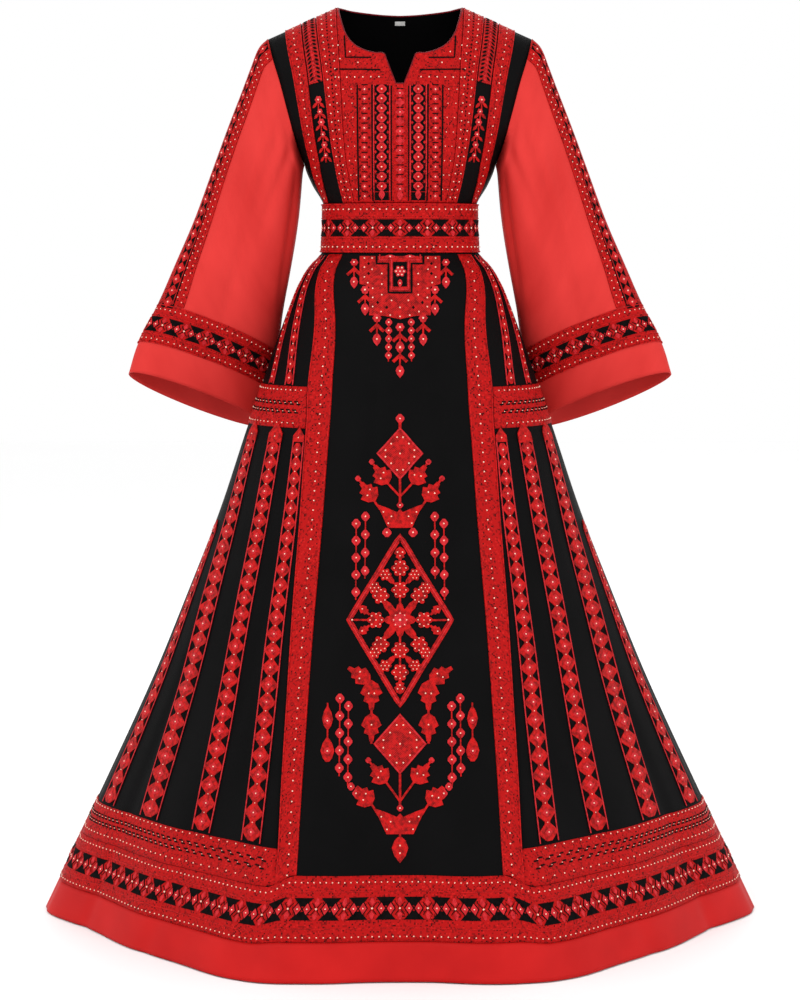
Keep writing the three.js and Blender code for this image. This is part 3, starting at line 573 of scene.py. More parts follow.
def spaced(start, end, pitch):
    count = max(1, int(round(abs(end - start) / pitch)))
    return start + (end - start) * (np.arange(count) + 0.5) / count


def newPiece(name, points, faces, slots, faceSlots=None, uvs=None):
    moved = np.array(points, float).reshape(-1, 3)
    moved[:, 2] -= originHeight
    mesh = bpy.data.meshes.new(name)
    mesh.from_pydata([tuple(v) for v in moved * 0.001], [], faces)
    for slotName in slots:
        mesh.materials.append(materials[slotName])
    if faceSlots is not None:
        mesh.polygons.foreach_set("material_index", faceSlots)
    if uvs is not None:
        layer = mesh.uv_layers.new(name="cut")
        loops = np.empty(len(mesh.loops), dtype=np.int32)
        mesh.loops.foreach_get("vertex_index", loops)
        layer.data.foreach_set("uv", np.asarray(uvs, float)[loops].ravel())
    mesh.validate()
    piece = bpy.data.objects.new(name, mesh)
    bpy.context.scene.collection.objects.link(piece)
    bpy.ops.object.select_all(action="DESELECT")
    bpy.context.view_layer.objects.active = piece
    piece.select_set(True)
    return piece


trimCloth = {"lift": 1.2, "thickness": 0.9, "held": "stretched"}  # bands, borders and strips
stripeCloth = {"lift": 0.8, "thickness": 0.5, "held": "stretched"}


def clothPiece(name, surface, us, vs, material, node=None, lift=0.0, thickness=1.2, held="hung", ring=False,
               middle=None, grain=None, mirrorX=False):
    # A thin sheet on a surface; its cut is read from its own size.
    grid = np.meshgrid(us, vs)
    p, n, _, _ = framesOf(surface, *grid, (us[1] - us[0]) * 0.02, (vs[1] - vs[0]) * 0.02)
    centre = p.mean(axis=(0, 1)) * np.array([0, 0, 1]) if middle is None else np.array(middle)
    n = n * np.sign(np.median(np.sum(n * (p - centre), axis=-1)))
    rows, columns = p.shape[:2]
    spanU = np.linalg.norm(np.diff(p, axis=1), axis=-1)
    spanV = np.linalg.norm(np.diff(p, axis=0), axis=-1)
    width, length = spanU.sum(axis=1), spanV.sum(axis=0)
    uvAcross = np.concatenate([np.zeros((rows, 1)), np.cumsum(spanU, axis=1)], axis=1)
    uvAlong = np.concatenate([np.zeros((1, columns)), np.cumsum(spanV, axis=0)], axis=0)
    if grain is None:
        uvAcross = uvAcross - uvAcross.mean(axis=1, keepdims=True)
    else:
        uvAcross = uvAcross / width[:, None] * grain
        uvAlong = np.broadcast_to(uvAlong.mean(axis=1, keepdims=True), uvAlong.shape)
    points = p + n * lift
    if mirrorX:
        points = points * np.array([-1, 1, 1])
    uvs = np.stack([uvAcross, uvAlong], axis=-1).reshape(-1, 2) * 0.001
    corner = surface(us[0], vs[0])
    edges = [surface(us[1], vs[0]) - corner, surface(us[0], vs[1]) - corner, n[0, 0]]
    flip = (np.linalg.det(np.stack(edges)) < 0) != mirrorX
    faces = []
    for r in range(rows - 1):
        for c in range(columns if ring else columns - 1):
            d = (c + 1) % columns
            quad = (r * columns + c, r * columns + d, (r + 1) * columns + d, (r + 1) * columns + c)
            faces.append(quad[::-1] if flip else quad)
    piece = newPiece(name, points, faces, [material], uvs=uvs)
    bpy.ops.object.shade_smooth()
    wall = piece.modifiers.new("wall", "SOLIDIFY")
    wall.thickness = thickness * 0.001
    wall.offset = -1
    wall.use_even_offset = False
    bpy.ops.object.modifier_apply(modifier="wall")
    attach(piece, "root")
    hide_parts(node or "".join("_" + c.lower() if c.isupper() else c for c in name))


def cutEdges(shape, longest):
    # The same outlines with long edges cut into short lengths, so that they can follow a bend.
    following = np.roll(shape, -1, axis=1)
    lengths = np.linalg.norm(following - shape, axis=-1).max(axis=0)
    points = []
    for k, length in enumerate(lengths):
        pieces = max(1, int(math.ceil(length / longest)))
        points += [mix(shape[:, k], following[:, k], j / pieces) for j in range(pieces)]
    return np.stack(points, axis=1)


def dense(points, longest):
    # A bent line with more points along each of its lengths.
    points, filled = np.asarray(points, float), []
    for a, b in zip(points[:-1], points[1:]):
        pieces = max(2, int(np.hypot(*(b - a)) / longest))
        filled += [mix(a, b, k / pieces) for k in range(pieces)]
    return filled + [points[-1]]


stoneLook = {"scale": 0.8, "rings": ((1.0, 0.0), (0.95, 0.45), (0.5, 0.95))}


class Stitching:
    # Stitches and stones of one piece. Each is laid on a surface, and middle is a point inside that surface.
    def __init__(self, surface, steps, middle=(0, 0, 700)):
        self.vertices, self.faces, self.slots, self.names, self.count = [], [], [], [], 0
        self.lieOn(surface, steps, middle)

    def lieOn(self, surface, steps, middle=(0, 0, 700)):
        self.surface, self.steps, self.middle = surface, steps, np.array(middle)

    def frames(self, u, v):
        p, n, unitU, unitV = framesOf(self.surface, u, v, *self.steps)
        return p, n * np.sign(np.sum(n * (p - self.middle), axis=-1))[..., None], unitU, unitV

    def add(self, material, points, faces):
        # one closed form, with its faces counted from its own first point
        if material not in self.names:
            self.names.append(material)
        self.vertices.append(points)
        self.faces += [tuple(self.count + i for i in face) for face in faces]
        self.slots += [self.names.index(material)] * len(faces)
        self.count += len(points)

    def tiles(self, centres, outline, material, levels=(0.4, 1.5), sizes=(1, 1), turns=0.0):
        # Closed outlines in mm around each centre, or in shares of sizes; large ones follow the bends.
        centres = np.atleast_2d(np.asarray(centres, float))
        count = len(centres)
        sizes = np.broadcast_to(np.asarray(sizes, float), (count, 2))[:, None]
        shape = np.asarray(outline, float)[None] * sizes
        angle = np.broadcast_to(np.asarray(turns, float), (count,)) * degree
        c, s = np.cos(angle)[:, None], np.sin(angle)[:, None]
        x, y = shape[..., 0], shape[..., 1]
        shape = np.stack([x * c - y * s, x * s + y * c], axis=-1)
        hub = shape.mean(axis=1, keepdims=True)
        reach = np.linalg.norm(shape - hub, axis=-1).max()
        rings = 1
        if reach > 7.5:
            shape = cutEdges(shape, 8.0)
            rings = int(math.ceil(reach / 7.5))
        corners = shape.shape[1]
        places = [shape] + [mix(hub, shape, r / rings) for r in range(rings - 1, 0, -1)] + [hub] * (rings > 1)
        places = np.concatenate(places, axis=1)
        _, _, unitU, unitV = framesOf(self.surface, centres[:, 0], centres[:, 1], *self.steps)
        u = centres[:, 0, None] + places[..., 0] / np.maximum(unitU, 1e-6)[:, None]
        v = centres[:, 1, None] + places[..., 1] / np.maximum(unitV, 1e-6)[:, None]
        p, n, _, _ = self.frames(u, v)
        tops, lows = p + n * levels[1], (p + n * levels[0])[:, :corners]
        total = tops.shape[1]
        pairs = [(i, (i + 1) % corners) for i in range(corners)]
        faces = [(r * corners + i, r * corners + j, (r + 1) * corners + j, (r + 1) * corners + i)
                 for r in range(rings - 1) for i, j in pairs]
        if rings > 1:
            faces += [((rings - 1) * corners + i, (rings - 1) * corners + j, total - 1) for i, j in pairs]
        else:
            faces = [tuple(range(corners))]
        faces += [(i, total + i, total + j, j) for i, j in pairs]
        faces.append(tuple(range(total + corners - 1, total - 1, -1)))
        for k in range(count):
            self.add(material, np.concatenate([tops[k], lows[k]]), faces)

    def ribbon(self, path, width, material, levels=(0.4, 1.5), closed=False):
        # A narrow stitched line along places on the surface; width in mm.
        path = np.asarray(path, float)
        p, n, _, _ = self.frames(path[:, 0], path[:, 1])
        along = unit(np.roll(p, -1, axis=0) - np.roll(p, 1, axis=0) if closed else np.gradient(p, axis=0))
        half = (np.broadcast_to(np.asarray(width, float), (len(p),)) / 2)[:, None]
        left, right = p + np.cross(n, along) * half, p - np.cross(n, along) * half
        low, high, m = n * levels[0], n * levels[1], len(p)
        faces = [(a * m + i, b * m + i, b * m + (i + 1) % m, a * m + (i + 1) % m)
                 for i in range(m if closed else m - 1) for a, b in ((0, 1), (1, 2), (2, 3), (3, 0))]
        if not closed:
            faces += [tuple(a * m for a in (3, 2, 1, 0)), tuple(a * m + m - 1 for a in (0, 1, 2, 3))]
        self.add(material, np.concatenate([left + high, right + high, right + low, left + low]), faces)

    def stones(self, centres, radius=1.5, level=1.4, m=6):
        # Faceted stones set on the cloth: a girdle, a table and a closed foot.
        centres = np.atleast_2d(np.asarray(centres, float))
        p, n, _, _ = self.frames(centres[:, 0], centres[:, 1])
        helper = np.where(np.abs(n[:, 2:3]) < 0.9, np.array([[0.0, 0.0, 1.0]]), np.array([[1.0, 0.0, 0.0]]))
        e1 = unit(np.cross(n, helper))
        e2 = np.cross(n, e1)
        size = radius * stoneLook["scale"]
        turns = 2 * math.pi * np.arange(m)[:, None] / m
        faces = [tuple(range(2 * m, 3 * m)), tuple(range(m - 1, -1, -1))]
        faces += [(r * m + i, r * m + (i + 1) % m, (r + 1) * m + (i + 1) % m, (r + 1) * m + i)
                  for r in (0, 1) for i in range(m)]
        for k in range(len(p)):
            around = np.cos(turns) * e1[k] + np.sin(turns) * e2[k]
            rings = [p[k] + n[k] * (level + up * size) + size * share * around
                     for share, up in stoneLook["rings"]]
            self.add("stone", np.concatenate(rings), faces)

    def motif(self, x, heights, outline, size=(1, 1), turn=0.0, material="thread", levels=(0.2, 1.6)):
        # Shapes above one another, and the same mirrored where they lie beside the middle.
        for s in (-1, 1) if x else (1,):
            self.tiles(place(s * x, np.atleast_1d(heights)), outline, material, levels, size, s * turn)

    def gems(self, points, radius=1.5, level=1.6):
        points = np.atleast_2d(np.asarray(points, float))
        self.stones(np.concatenate([points, points[points[:, 0] != 0] * (-1, 1)]), radius, level)

    def stem(self, points, width=3.0, material="thread", levels=(0.2, 1.6), longest=8):
        for s in (-1, 1) if any(point[0] for point in points) else (1,):
            self.ribbon(dense(np.array(points) * (s, 1), longest), width, material, levels)

    def finish(self, name, mirrorX=False):
        points = np.concatenate(self.vertices)
        if mirrorX:
            points = points * np.array([-1, 1, 1])
        piece = newPiece(name, points, self.faces, self.names, self.slots)
        bpy.ops.object.mode_set(mode="EDIT")
        bpy.ops.mesh.select_all(action="SELECT")
        bpy.ops.mesh.normals_make_consistent(inside=False)
        bpy.ops.object.mode_set(mode="OBJECT")
        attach(piece, "root")
        return piece


def petals(count, outer, inner, points=3):
    # A round flower outline with notched petals.
    turns = 2 * math.pi * np.arange(count * points * 2) / (count * points * 2)
    radius = inner + (outer - inner) * ((1 + np.cos(count * turns)) / 2) ** 0.6
    return np.stack([radius * np.cos(turns), radius * np.sin(turns)], axis=1)


def mirrored(half):
    # A whole outline from its right half, whose points on the middle line aren't repeated.
    return half + [(-x, y) for x, y in half[::-1] if x]


# Outlines in mm or in shares of a size, around their own centre.
diamond = [(0.5, 0), (0, 0.5), (-0.5, 0), (0, -0.5)]
lozenge = [(0.5, 0.12), (0.16, 0.5), (-0.16, 0.5), (-0.5, 0.12), (-0.5, -0.12), (-0.16, -0.5), (0.16, -0.5),
           (0.5, -0.12)]
square = [(0.5, 0.5), (-0.5, 0.5), (-0.5, -0.5), (0.5, -0.5)]
capShape = [(0, 0.72), (0.5, 0.14), (0.5, -0.3), (-0.5, -0.3), (-0.5, 0.14)]
dashShape = [(0.5, 0.5), (-0.35, 0.5), (-0.5, -0.5), (0.35, -0.5)]
leafShape = mirrored([(0, -0.5), (0.3, -0.36), (0.5, -0.06), (0.3, 0.04), (0.36, 0.2), (0.14, 0.28),
                      (0.1, 0.5)])
petalShape = mirrored([(0, -0.5), (0.34, -0.2), (0.4, 0.12), (0.2, 0.42), (0, 0.5)])
dropShape = mirrored([(0, -0.5), (0.34, -0.22), (0.5, 0.08), (0.34, 0.36), (0.12, 0.5)])
halves = (("Left", 1), ("Right", -1))

skirtCloth = {"columnsCentre": 48, "columnsSide": 56, "rows": 110, "top": 1029.0}


def skirtPanels():
    down = np.linspace(0, 1, skirtCloth["rows"])
    for name, node, turn in (("skirtFrontPanel", "skirt_front", 0), ("skirtBackPanel", "skirt_back", 180)):
        def centrePanel(across, share, turn=turn):
            height = mix(skirtCloth["top"], rowHeight("hemBand", 0), share)
            return skirtPoint(turn + across * lineAngle("bandOuter", height), height)
        clothPiece(name, centrePanel, np.linspace(-1, 1, skirtCloth["columnsCentre"]), down, "black", node)
    for side, turned in sides.items():
        def sidePanel(across, share, turned=turned):
            foot = rowHeight("hemBand", mix(lineAngle("bandOuter", 50.0), 90.0, across))
            height = mix(skirtCloth["top"], foot, share)
            return skirtPoint(turned(mix(lineAngle("bandOuter", height), 90.0, across)), height)
        clothPiece("skirtSide" + side, sidePanel, np.linspace(0, 1, skirtCloth["columnsSide"]), down, "black")
    clothPiece("hemBand", skirtRing("hemBand", "hem"), np.arange(-180.0, 180.0), np.linspace(0.004, 1, 9),
               "hemSatin", ring=True)
    print("skirt cloth ready")


skirtPanels()

bandLook = {"top": 990.0, "hip": (799.5, 740.5), "stonePitch": 13.5, "stone": 1.5}
stripeRows = [  # piece, lines it lies between, places across, heights, grain
    ("stripeOne", "one", (0, 1, 5), (735, 174, 70), 20.0),
    ("stripeTwo", "two", (0, 1, 5), (735, 174, 70), 20.0),
    ("stripeThree", "three", (0, 1, 5), (735, 174, 70), 20.0),
    ("stripeFour", "four", (0, 1, 5), (592, 174, 70), 20.0),
    ("upperStripeInner", "two", (0.03, 0.97, 5), (989, 801, 28), 16.0),
    ("upperStripeOuter", "three", (0.03, 0.97, 5), (989, 801, 28), 16.0)]


def skirtBands():
    for side in sides:
        def longBand(across, down, strip=skirtStrip("bandInner", "bandOuter", side)):
            angle = mix(lineAngle("bandInner", 135.0), lineAngle("bandOuter", 128.0), across)
            foot = rowHeight("border", angle)
            return strip(across, mix(bandLook["top"], foot + 0.4, down))
        node = ("front" if "Front" in side else "back") + ("_band_left" if "Left" in side else "_band_right")
        clothPiece("longBand" + side, longBand, np.linspace(0.0, 1.0, 13), np.linspace(0, 1, 120), "stitches",
                   node, grain=34.0, **trimCloth)
    for half, sign in halves:
        def hipBand(share, height, sign=sign):
            front = mix(lineAngle("bandOuter", height), 90.0, np.clip(share * 2, 0, 1))
            back = 180 - mix(90.0, lineAngle("bandOuter", height), np.clip(share * 2 - 1, 0, 1))
            return skirtPoint(sign * np.where(share < 0.5, front, back), height)
        clothPiece("hipBand" + half, hipBand, np.linspace(0.003, 0.997, 80),
                   np.linspace(*bandLook["hip"], 12), "stitches", **trimCloth)

        def sideBorder(share, down, sign=sign):
            start = lineAngle("bandOuter", mix(175.0, 122.0, down)) - 0.05
            angle = mix(start, 180.0 - start, share)
            height = mix(rowHeight("sideBorder", angle), rowHeight("border", angle), down)
            return skirtPoint(sign * angle, height)
        clothPiece("sideBorder" + half, sideBorder, np.linspace(0, 1, 110), np.linspace(0, 0.99, 8),
                   "stitches", **trimCloth)
    clothPiece("hemBorder", skirtRing("border", "hemBand"), np.arange(-180.0, 180.0), np.linspace(0, 1, 12),
               "stitches", ring=True, **trimCloth)
    for name, line, across, heights, grain in stripeRows:
        for side in sides:
            clothPiece(name + side, skirtStrip(line + "Start", line + "End", side), np.linspace(*across),
                       np.linspace(*heights), "blackThread", grain=grain, **stripeCloth)
    print("skirt bands ready")


skirtBands()

stripeLook = {
    "pitch": ((174, 740, 990), (25.5, 20.0, 15.0)),  # heights, and the length of a lozenge there
    "runs": [("one", 728, 174, True), ("two", 728, 174, True), ("three", 728, 174, True),
             ("four", 585, 174, True), ("two", 988, 801, False),
             ("three", 988, 801, False)],  # line, top, bottom, pointed cap
}


def stripeStitches():
    # Edge lines, pointed caps and a chain of stitched lozenges with stones, on every narrow stripe.
    for side in sides:
        work = Stitching(None, (0.02, 1.0))
        for line, top, bottom, capped in stripeLook["runs"]:
            work.lieOn(skirtStrip(line + "Start", line + "End", side), (0.02, 1.0))
            heights = np.linspace(top, bottom, 60)
            width = work.frames(np.full(60, 0.5), heights)[2]
            for edge in (0.04, 0.96):
                work.ribbon(place(edge, heights), 1.8, "rose", (0.5, 1.5))
            first = at = top - (8 if capped else 3)
            spots = []
            while at > bottom + 20:
                pitch = float(np.interp(at, *stripeLook["pitch"]))
                spots.append(at - pitch / 2)
                at -= pitch
            spots = first + (np.array(spots) - first) * (first - bottom) / (first - at)
            wide = np.interp(-spots, -heights, width)
            tall = np.interp(spots, *stripeLook["pitch"])
            middles = place(0.5, spots)
            work.tiles(middles, lozenge, "thread", (0.5, 1.9), place(wide * 0.84, tall * 0.96))
            work.tiles(middles, diamond, "rose", (1.2, 2.3), place(wide * 0.42, tall * 0.5))
            work.stones(middles, 1.5, 2.1)
            joins = (middles[:-1] + middles[1:]) / 2
            work.tiles(joins, square, "thread", (0.5, 1.8), place(wide[1:] * 0.26, tall[1:] * 0.3))
            work.stones(joins, 1.1, 1.7)
            if capped:
                work.tiles([(0.5, top - 1)], capShape, "thread", (0.5, 2.1), (width[0], width[0] * 1.1))
                work.stones([(0.5, top - 1)], 1.3, 1.9)
        work.finish("stripeStitches" + side)
    print("stripe stitches ready")


stripeStitches()


def dashRows(work, span, rowsAt, pitch, unitLength):
    # Two rows of short dark dashes with stones between them; unitLength is that of a degree.
    for row in rowsAt:
        spots = spaced(*span, pitch / unitLength)
        for shift, move in ((0.0, 0.25), (3.6, -0.15)):
            dashes = place(spots + move * pitch / unitLength, row - shift)
            work.tiles(dashes, dashShape, "blackThread", (1.0, 1.6), (8.5, 2.3))
        work.stones(place(spots, row - 1.8), 1.0, 1.5)


def borderMotif(work, along, count, total, centre, high):
    # Dark trapezoids above and below a row of paired diamonds; along gives the same place in every unit.
    pitch = total / count

    def lay(phase, outline, material, levels, size=(pitch, high)):
        spots = place(along(count, phase), centre)
        work.tiles(spots, outline, material, levels, size)
        return spots
    for sign in (1, -1):
        lay(0.5, [(-0.36, sign / 2), (0.36, sign / 2), (0.10, sign * 0.12), (-0.10, sign * 0.12)],
            "blackThread", (0.9, 1.7))
        leaf = [(0, 0.10), (0.09, 0.26), (0.05, 0.44), (0, 0.5), (-0.05, 0.44), (-0.09, 0.26)]
        ends = lay(1.0, [(x, sign * y) for x, y in leaf], "rose", (1.0, 1.9))
        for side in (-1, 1):
            x0, y0, x1, y1 = side * pitch * 0.03, sign * high * 0.05, side * pitch * 0.17, sign * high * 0.28
            lay(1.0, [(x0, y0 - 0.8), (x1, y1 - 0.8), (x1, y1 + 0.8), (x0, y0 + 0.8)], "blackThread",
                (0.9, 1.6), (1, 1))
    for phase in (0.33, 0.67):
        lay(phase, diamond, "blackThread", (0.9, 1.8), (pitch * 0.36, high * 0.70))
        work.stones(lay(phase, diamond, "rose", (1.2, 2.4), (pitch * 0.27, high * 0.52)), 1.4, 2.2)
    work.stones(ends, 1.8, 1.6, 8)


hemLook = {
    "pitch": 39.0, "high": 31.0, "stones": 300, "stoneRows": (0.10, 0.93), "lines": (0.24, 0.80),
    # span of angles, dash rows, their pitch, length of a degree; step, heights and size of stones
    "sideRows": [
        ((16.0, 164.0), (157, 147), 14.0, 6.6, 2.0, (168.0, 131.0), 1.35),
        ((41.5, 138.5), (777.5, 765.5), 12.5, 3.3, 3.2, (794.0, 747.0), 1.25)],
}


def hemStitches():
    work = Stitching(skirtRing("border", "hemBand"), (0.3, 0.01))
    angles = np.arange(-180, 181, 1.0)
    along, total = evenPlaces(work.surface, angles, 0.5)
    borderMotif(work, along, int(round(total / hemLook["pitch"] / 2)) * 2, total, 0.5, hemLook["high"])
    for down in hemLook["stoneRows"]:
        work.stones(place(along(hemLook["stones"]), down), 1.35, 1.3)
    for down in hemLook["lines"]:
        work.ribbon(place(angles[:-1], down), 1.5, "thread", (1.0, 1.7), True)
    work.finish("hemBorderStitches")
    for half, sign in halves:
        def side(angle, height, sign=sign):
            return skirtPoint(sign * angle, height)
        work = Stitching(side, (0.3, 1.0))
        for span, rowsAt, pitch, unitLength, step, heights, size in hemLook["sideRows"]:
            dashRows(work, span, rowsAt, pitch, unitLength)
            for height in heights:
                work.stones(place(spaced(*span, step), height), size, 1.3)
        work.finish("sideBandStitches" + half)
    for side in sides:
        work = Stitching(skirtStrip("bandInner", "bandOuter", side), (0.02, 1.0))
        work.stones(place(0.42, spaced(985, 132, bandLook["stonePitch"])), bandLook["stone"], 1.3)
        for edge in (0.04, 0.96):
            work.ribbon(place(edge, np.linspace(989, 141, 90)), 1.8, "thread", (1.0, 1.8))
        work.finish("longBandStones" + side)
    print("hem and side stitches ready")


hemStitches()

motifLook = {  # middle height, half height and half width of each diamond
    "top": (708.0, 37.0, 33.5), "large": (478.0, 122.0, 76.5), "low": (311.5, 40.5, 37.5),
    "frame": 7.5, "raised": (1.0, 2.3),
    "upperStems": [([(0, 752), (0, 742)], 4), ([(0, 673), (0, 636)], 3.4), ([(0, 648), (19, 668)], 3.0),
                   ([(28, 630), (38, 644)], 3.0)],  # points and width
    "lowerStems": [([(40, 388), (40, 312)], 3.0), ([(101, 366), (101, 290)], 2.2),
                   ([(0, 236), (20, 262)], 3.0), ([(30, 218), (42, 236)], 3.0),
                   ([(0, 273), (0, 226)], 3.4), ([(0, 196), (0, 186)], 3.0)],
    # place across, top, foot and count of each chain
    "chains": [(62, 610, 516, 5), (49, 620, 545, 4), (84, 372, 280, 5), (72, 362, 268, 5)],
    # place across, height, outline and size of what hangs beside the lower flower
    "hanging": [(40, 377, leafShape, (31, 42)), (40, 334, leafShape, (29, 40)),
                (101, 347, dropShape, (15, 34)), (101, 305, dropShape, (19, 36))],
}


def filledDiamond(work, middle, high, half, cells, material, levels):
    # A diamond that follows the cloth, made of small square cells.
    edge = np.arange(cells + 1) / cells - 0.5
    a, b = np.meshgrid(edge, edge)
    p, n, _, _ = work.frames((a - b) * half, middle + (a + b) * high)
    m, low = cells + 1, (cells + 1) ** 2
    faces = []
    for r in range(cells):
        for c in range(cells):
            quad = (r * m + c, r * m + c + 1, (r + 1) * m + c + 1, (r + 1) * m + c)
            faces += [quad, tuple(low + q for q in quad[::-1])]
    rim = list(range(m)) + [r * m + m - 1 for r in range(1, m)] \
        + [(m - 1) * m + c for c in range(m - 2, -1, -1)] + [r * m for r in range(m - 2, 0, -1)]
    faces += [(q, low + q, low + nextQ, nextQ) for q, nextQ in zip(rim, rim[1:] + rim[:1])]
    work.add(material, np.concatenate([(p + n * level).reshape(-1, 3) for level in levels[::-1]]), faces)


def tulip(work, height, half, depth):
    # Broad two-lobed base with a notch, seen in most counted borders.
    outline = mirrored([(0, 0.3), (0.2, 0.06), (0.55, 0.34), (1, 0.5), (0.78, 0.05), (0.52, -0.5)])
    work.motif(0, height, outline[-3:] + outline[:-3], (half, depth))
    work.gems([(half * k, height + depth * j) for k, j in ((0.72, 0.16), (0.36, -0.02), (0.5, -0.3))])


def beadChain(work, x, top, bottom, count, size):
    # Stitched drops on a thread, each with a stone.
    heights = np.linspace(top, bottom, count)
    work.stem([(x, top), (x + 0.5, bottom - size * 0.9)], 1.8)
    for k, height in enumerate(heights):
        work.motif(x + 0.5 * k / count, height, lozenge, (size, size * 1.12), material="rose")
    work.gems(place(x, heights), 1.6, 1.7)


def diamondPath(middle, high, half, pieces):
    corners = np.array([(0, middle + high), (half, middle), (0, middle - high), (-half, middle)])
    following = np.roll(corners, -1, axis=0)
    return [mix(a, b, k / pieces) for a, b in zip(corners, following) for k in range(pieces)]


def smallDiamond(work, middle, high, half):
    # A diamond with a lighter outline and stones just inside it.
    filledDiamond(work, middle, high, half, 10, "stitchTile", (0.2, 1.6))
    work.ribbon(diamondPath(middle, high - 2, half - 2, 8), 2.4, "rose", (0.2, 2.1), True)
    shares = [(k + 0.5) / 3 for k in range(3)]
    work.gems([(0, middle)] + [(half * 0.74 * (1 - share), middle + s * high * 0.74 * share)
                               for share in shares for s in (-1, 1)], 1.6)


def flowerLeaf(work, x, height, size, turn, bead=True):
    # A broad leaf with two stones, and a bead on a short neck at its tip.
    c, s = math.cos(turn * degree), math.sin(turn * degree)
    work.motif(x, height, leafShape, size, turn)
    for side in (-1, 1):
        spots = [np.array([side * x, height]) + k * np.array([c, side * s]) + j * np.array([-side * s, c])
                 for k, j in ((-4, -3), (4, 1))]
        work.stones(spots, 1.5, 1.6)
    if bead:
        tip = (x - s * size[1] * 0.72, height + c * size[1] * 0.72)
        work.stem([(x, height), tip])
        work.motif(*tip, lozenge, (8, 8), material="rose")


def centreFlowers(work, middle, high, half):
    # Frame of the large diamond, and a round of flowers inside it.
    frame = motifLook["frame"]
    path = diamondPath(middle, high - frame * 0.95, half - frame * 0.6, 16)
    work.ribbon(path, frame, "stitchTile", (0.2, 1.6), True)
    work.ribbon(path, 1.6, "rose", (0.2, 2.2), True)
    star = []
    for k in range(32):
        turn = 2 * math.pi * k / 32
        radius = 15 + (11 if k % 8 == 4 else 8) * ((1 + math.cos(8 * turn)) / 2) ** 0.7
        star.append((radius * math.cos(turn), radius * math.sin(turn) * 1.1))
    work.motif(0, middle, star)
    for sy in (-1, 1):
        work.motif(15, middle + sy * 17, petalShape, (14, 28), -sy * 41)
    work.motif(0, middle, petals(8, 12, 8), material="rose", levels=motifLook["raised"])
    turns = np.arange(8) * math.pi / 4
    work.stones(place(9 * np.cos(turns), middle + 9 * np.sin(turns)), 1.2, 2.4)
    work.stones([(0, middle)], 2.2, 2.4)
    flowers, crossings = [(34, middle)], []
    work.stem([(10, middle), (68, middle)], 2.6)
    for sy in (-1, 1):
        flowers += [(27, middle + sy * 33), (0, middle + sy * 41), (0, middle + sy * 71)]
        crossings += [(36, middle + sy * 44), (21, middle + sy * 62)]
        work.motif(50, middle + sy * 13, leafShape, (13, 19), 90 + sy * 40)
        work.gems([(53, middle + sy * 15)], 1.3)
        work.motif(13, middle + sy * 55, petalShape, (10, 17), -sy * 40)
        work.stem([(0, middle + sy * 12), (0, middle + sy * 96)])
        work.motif(0, middle + sy * 90, leafShape, (17, 22), 0 if sy < 0 else 180)
        work.gems([(0, middle + sy * 88), (3.5, middle + sy * 93)], 1.4)
    rounds = ((flowers, 1, 2.0, 8.2, 8, 1.25), (crossings, 0.74, 1.9, 5.4, 6, 1.15))
    for spots, scale, top, away, count, size in rounds:
        turns = 2 * math.pi * np.arange(count) / count
        for x, height in spots:
            work.motif(x, height, petals(6, 12.5, 9.0), (scale, scale), levels=(0.2, top))
            for s in (-1, 1) if x else (1,):
                ring = place(s * x + away * np.cos(turns), height + away * np.sin(turns))
                work.stones(np.concatenate([ring, [(s * x, height)]]), size, 1.9)
    work.gems([(half - 9, middle)], 1.8, 1.7)


def medallion():
    work = Stitching(frontPlace, (1.0, 1.0))
    # upper flower
    smallDiamond(work, *motifLook["top"])
    work.motif(0, 757, lozenge, (12, 13), material="rose")
    for points, width in motifLook["upperStems"]:
        work.stem(points, width)
    flowerLeaf(work, 26, 678, (31, 32), -38)
    flowerLeaf(work, 45, 654, (30, 33), -38)
    work.motif(18.5, 598, lozenge, (13, 13), material="rose")
    tulip(work, 621, 33, 34)
    work.motif(0, 636, lozenge, (9, 9), material="rose")
    work.gems([(0, 757)], 1.6)
    work.gems([(18.5, 598)], 1.7, 1.8)
    work.gems([(0, 636)], 1.5, 1.7)
    centreFlowers(work, *motifLook["large"])
    # chains beside the large diamond and the lower flower
    for chain in motifLook["chains"]:
        beadChain(work, *chain, 12)
    # lower flower
    smallDiamond(work, *motifLook["low"])
    flowerLeaf(work, 57, 404, (27, 37), -58, False)
    for points, width in motifLook["lowerStems"]:
        work.stem(points, width)
    for x, height, outline, size in motifLook["hanging"]:
        work.motif(x, height, outline, size, 180)
    work.motif(101, (342, 302), lozenge, (9, 10), material="rose", levels=motifLook["raised"])
    for x, height in ((68, 256), (61, 247)):
        work.motif(x, height, lozenge, (10, 11), material="rose")
    flowerLeaf(work, 29, 272, (31, 33), -40)
    flowerLeaf(work, 50, 243, (31, 34), -40, False)
    tulip(work, 210, 36, 36)
    work.motif(0, 227, lozenge, (9, 9), material="rose")
    work.motif(0, 172, dropShape, (23, 36))
    work.gems([(36, 379), (44, 379), (40, 337)])
    work.gems([(101, 342), (101, 302)], 1.6, 2.3)
    work.gems([(68, 256), (61, 247)], 1.5, 1.7)
    work.gems([(0, 178), (0, 168), (0, 227)], 1.6)
    work.finish("frontMedallion")
    print("front medallion ready")


medallion()

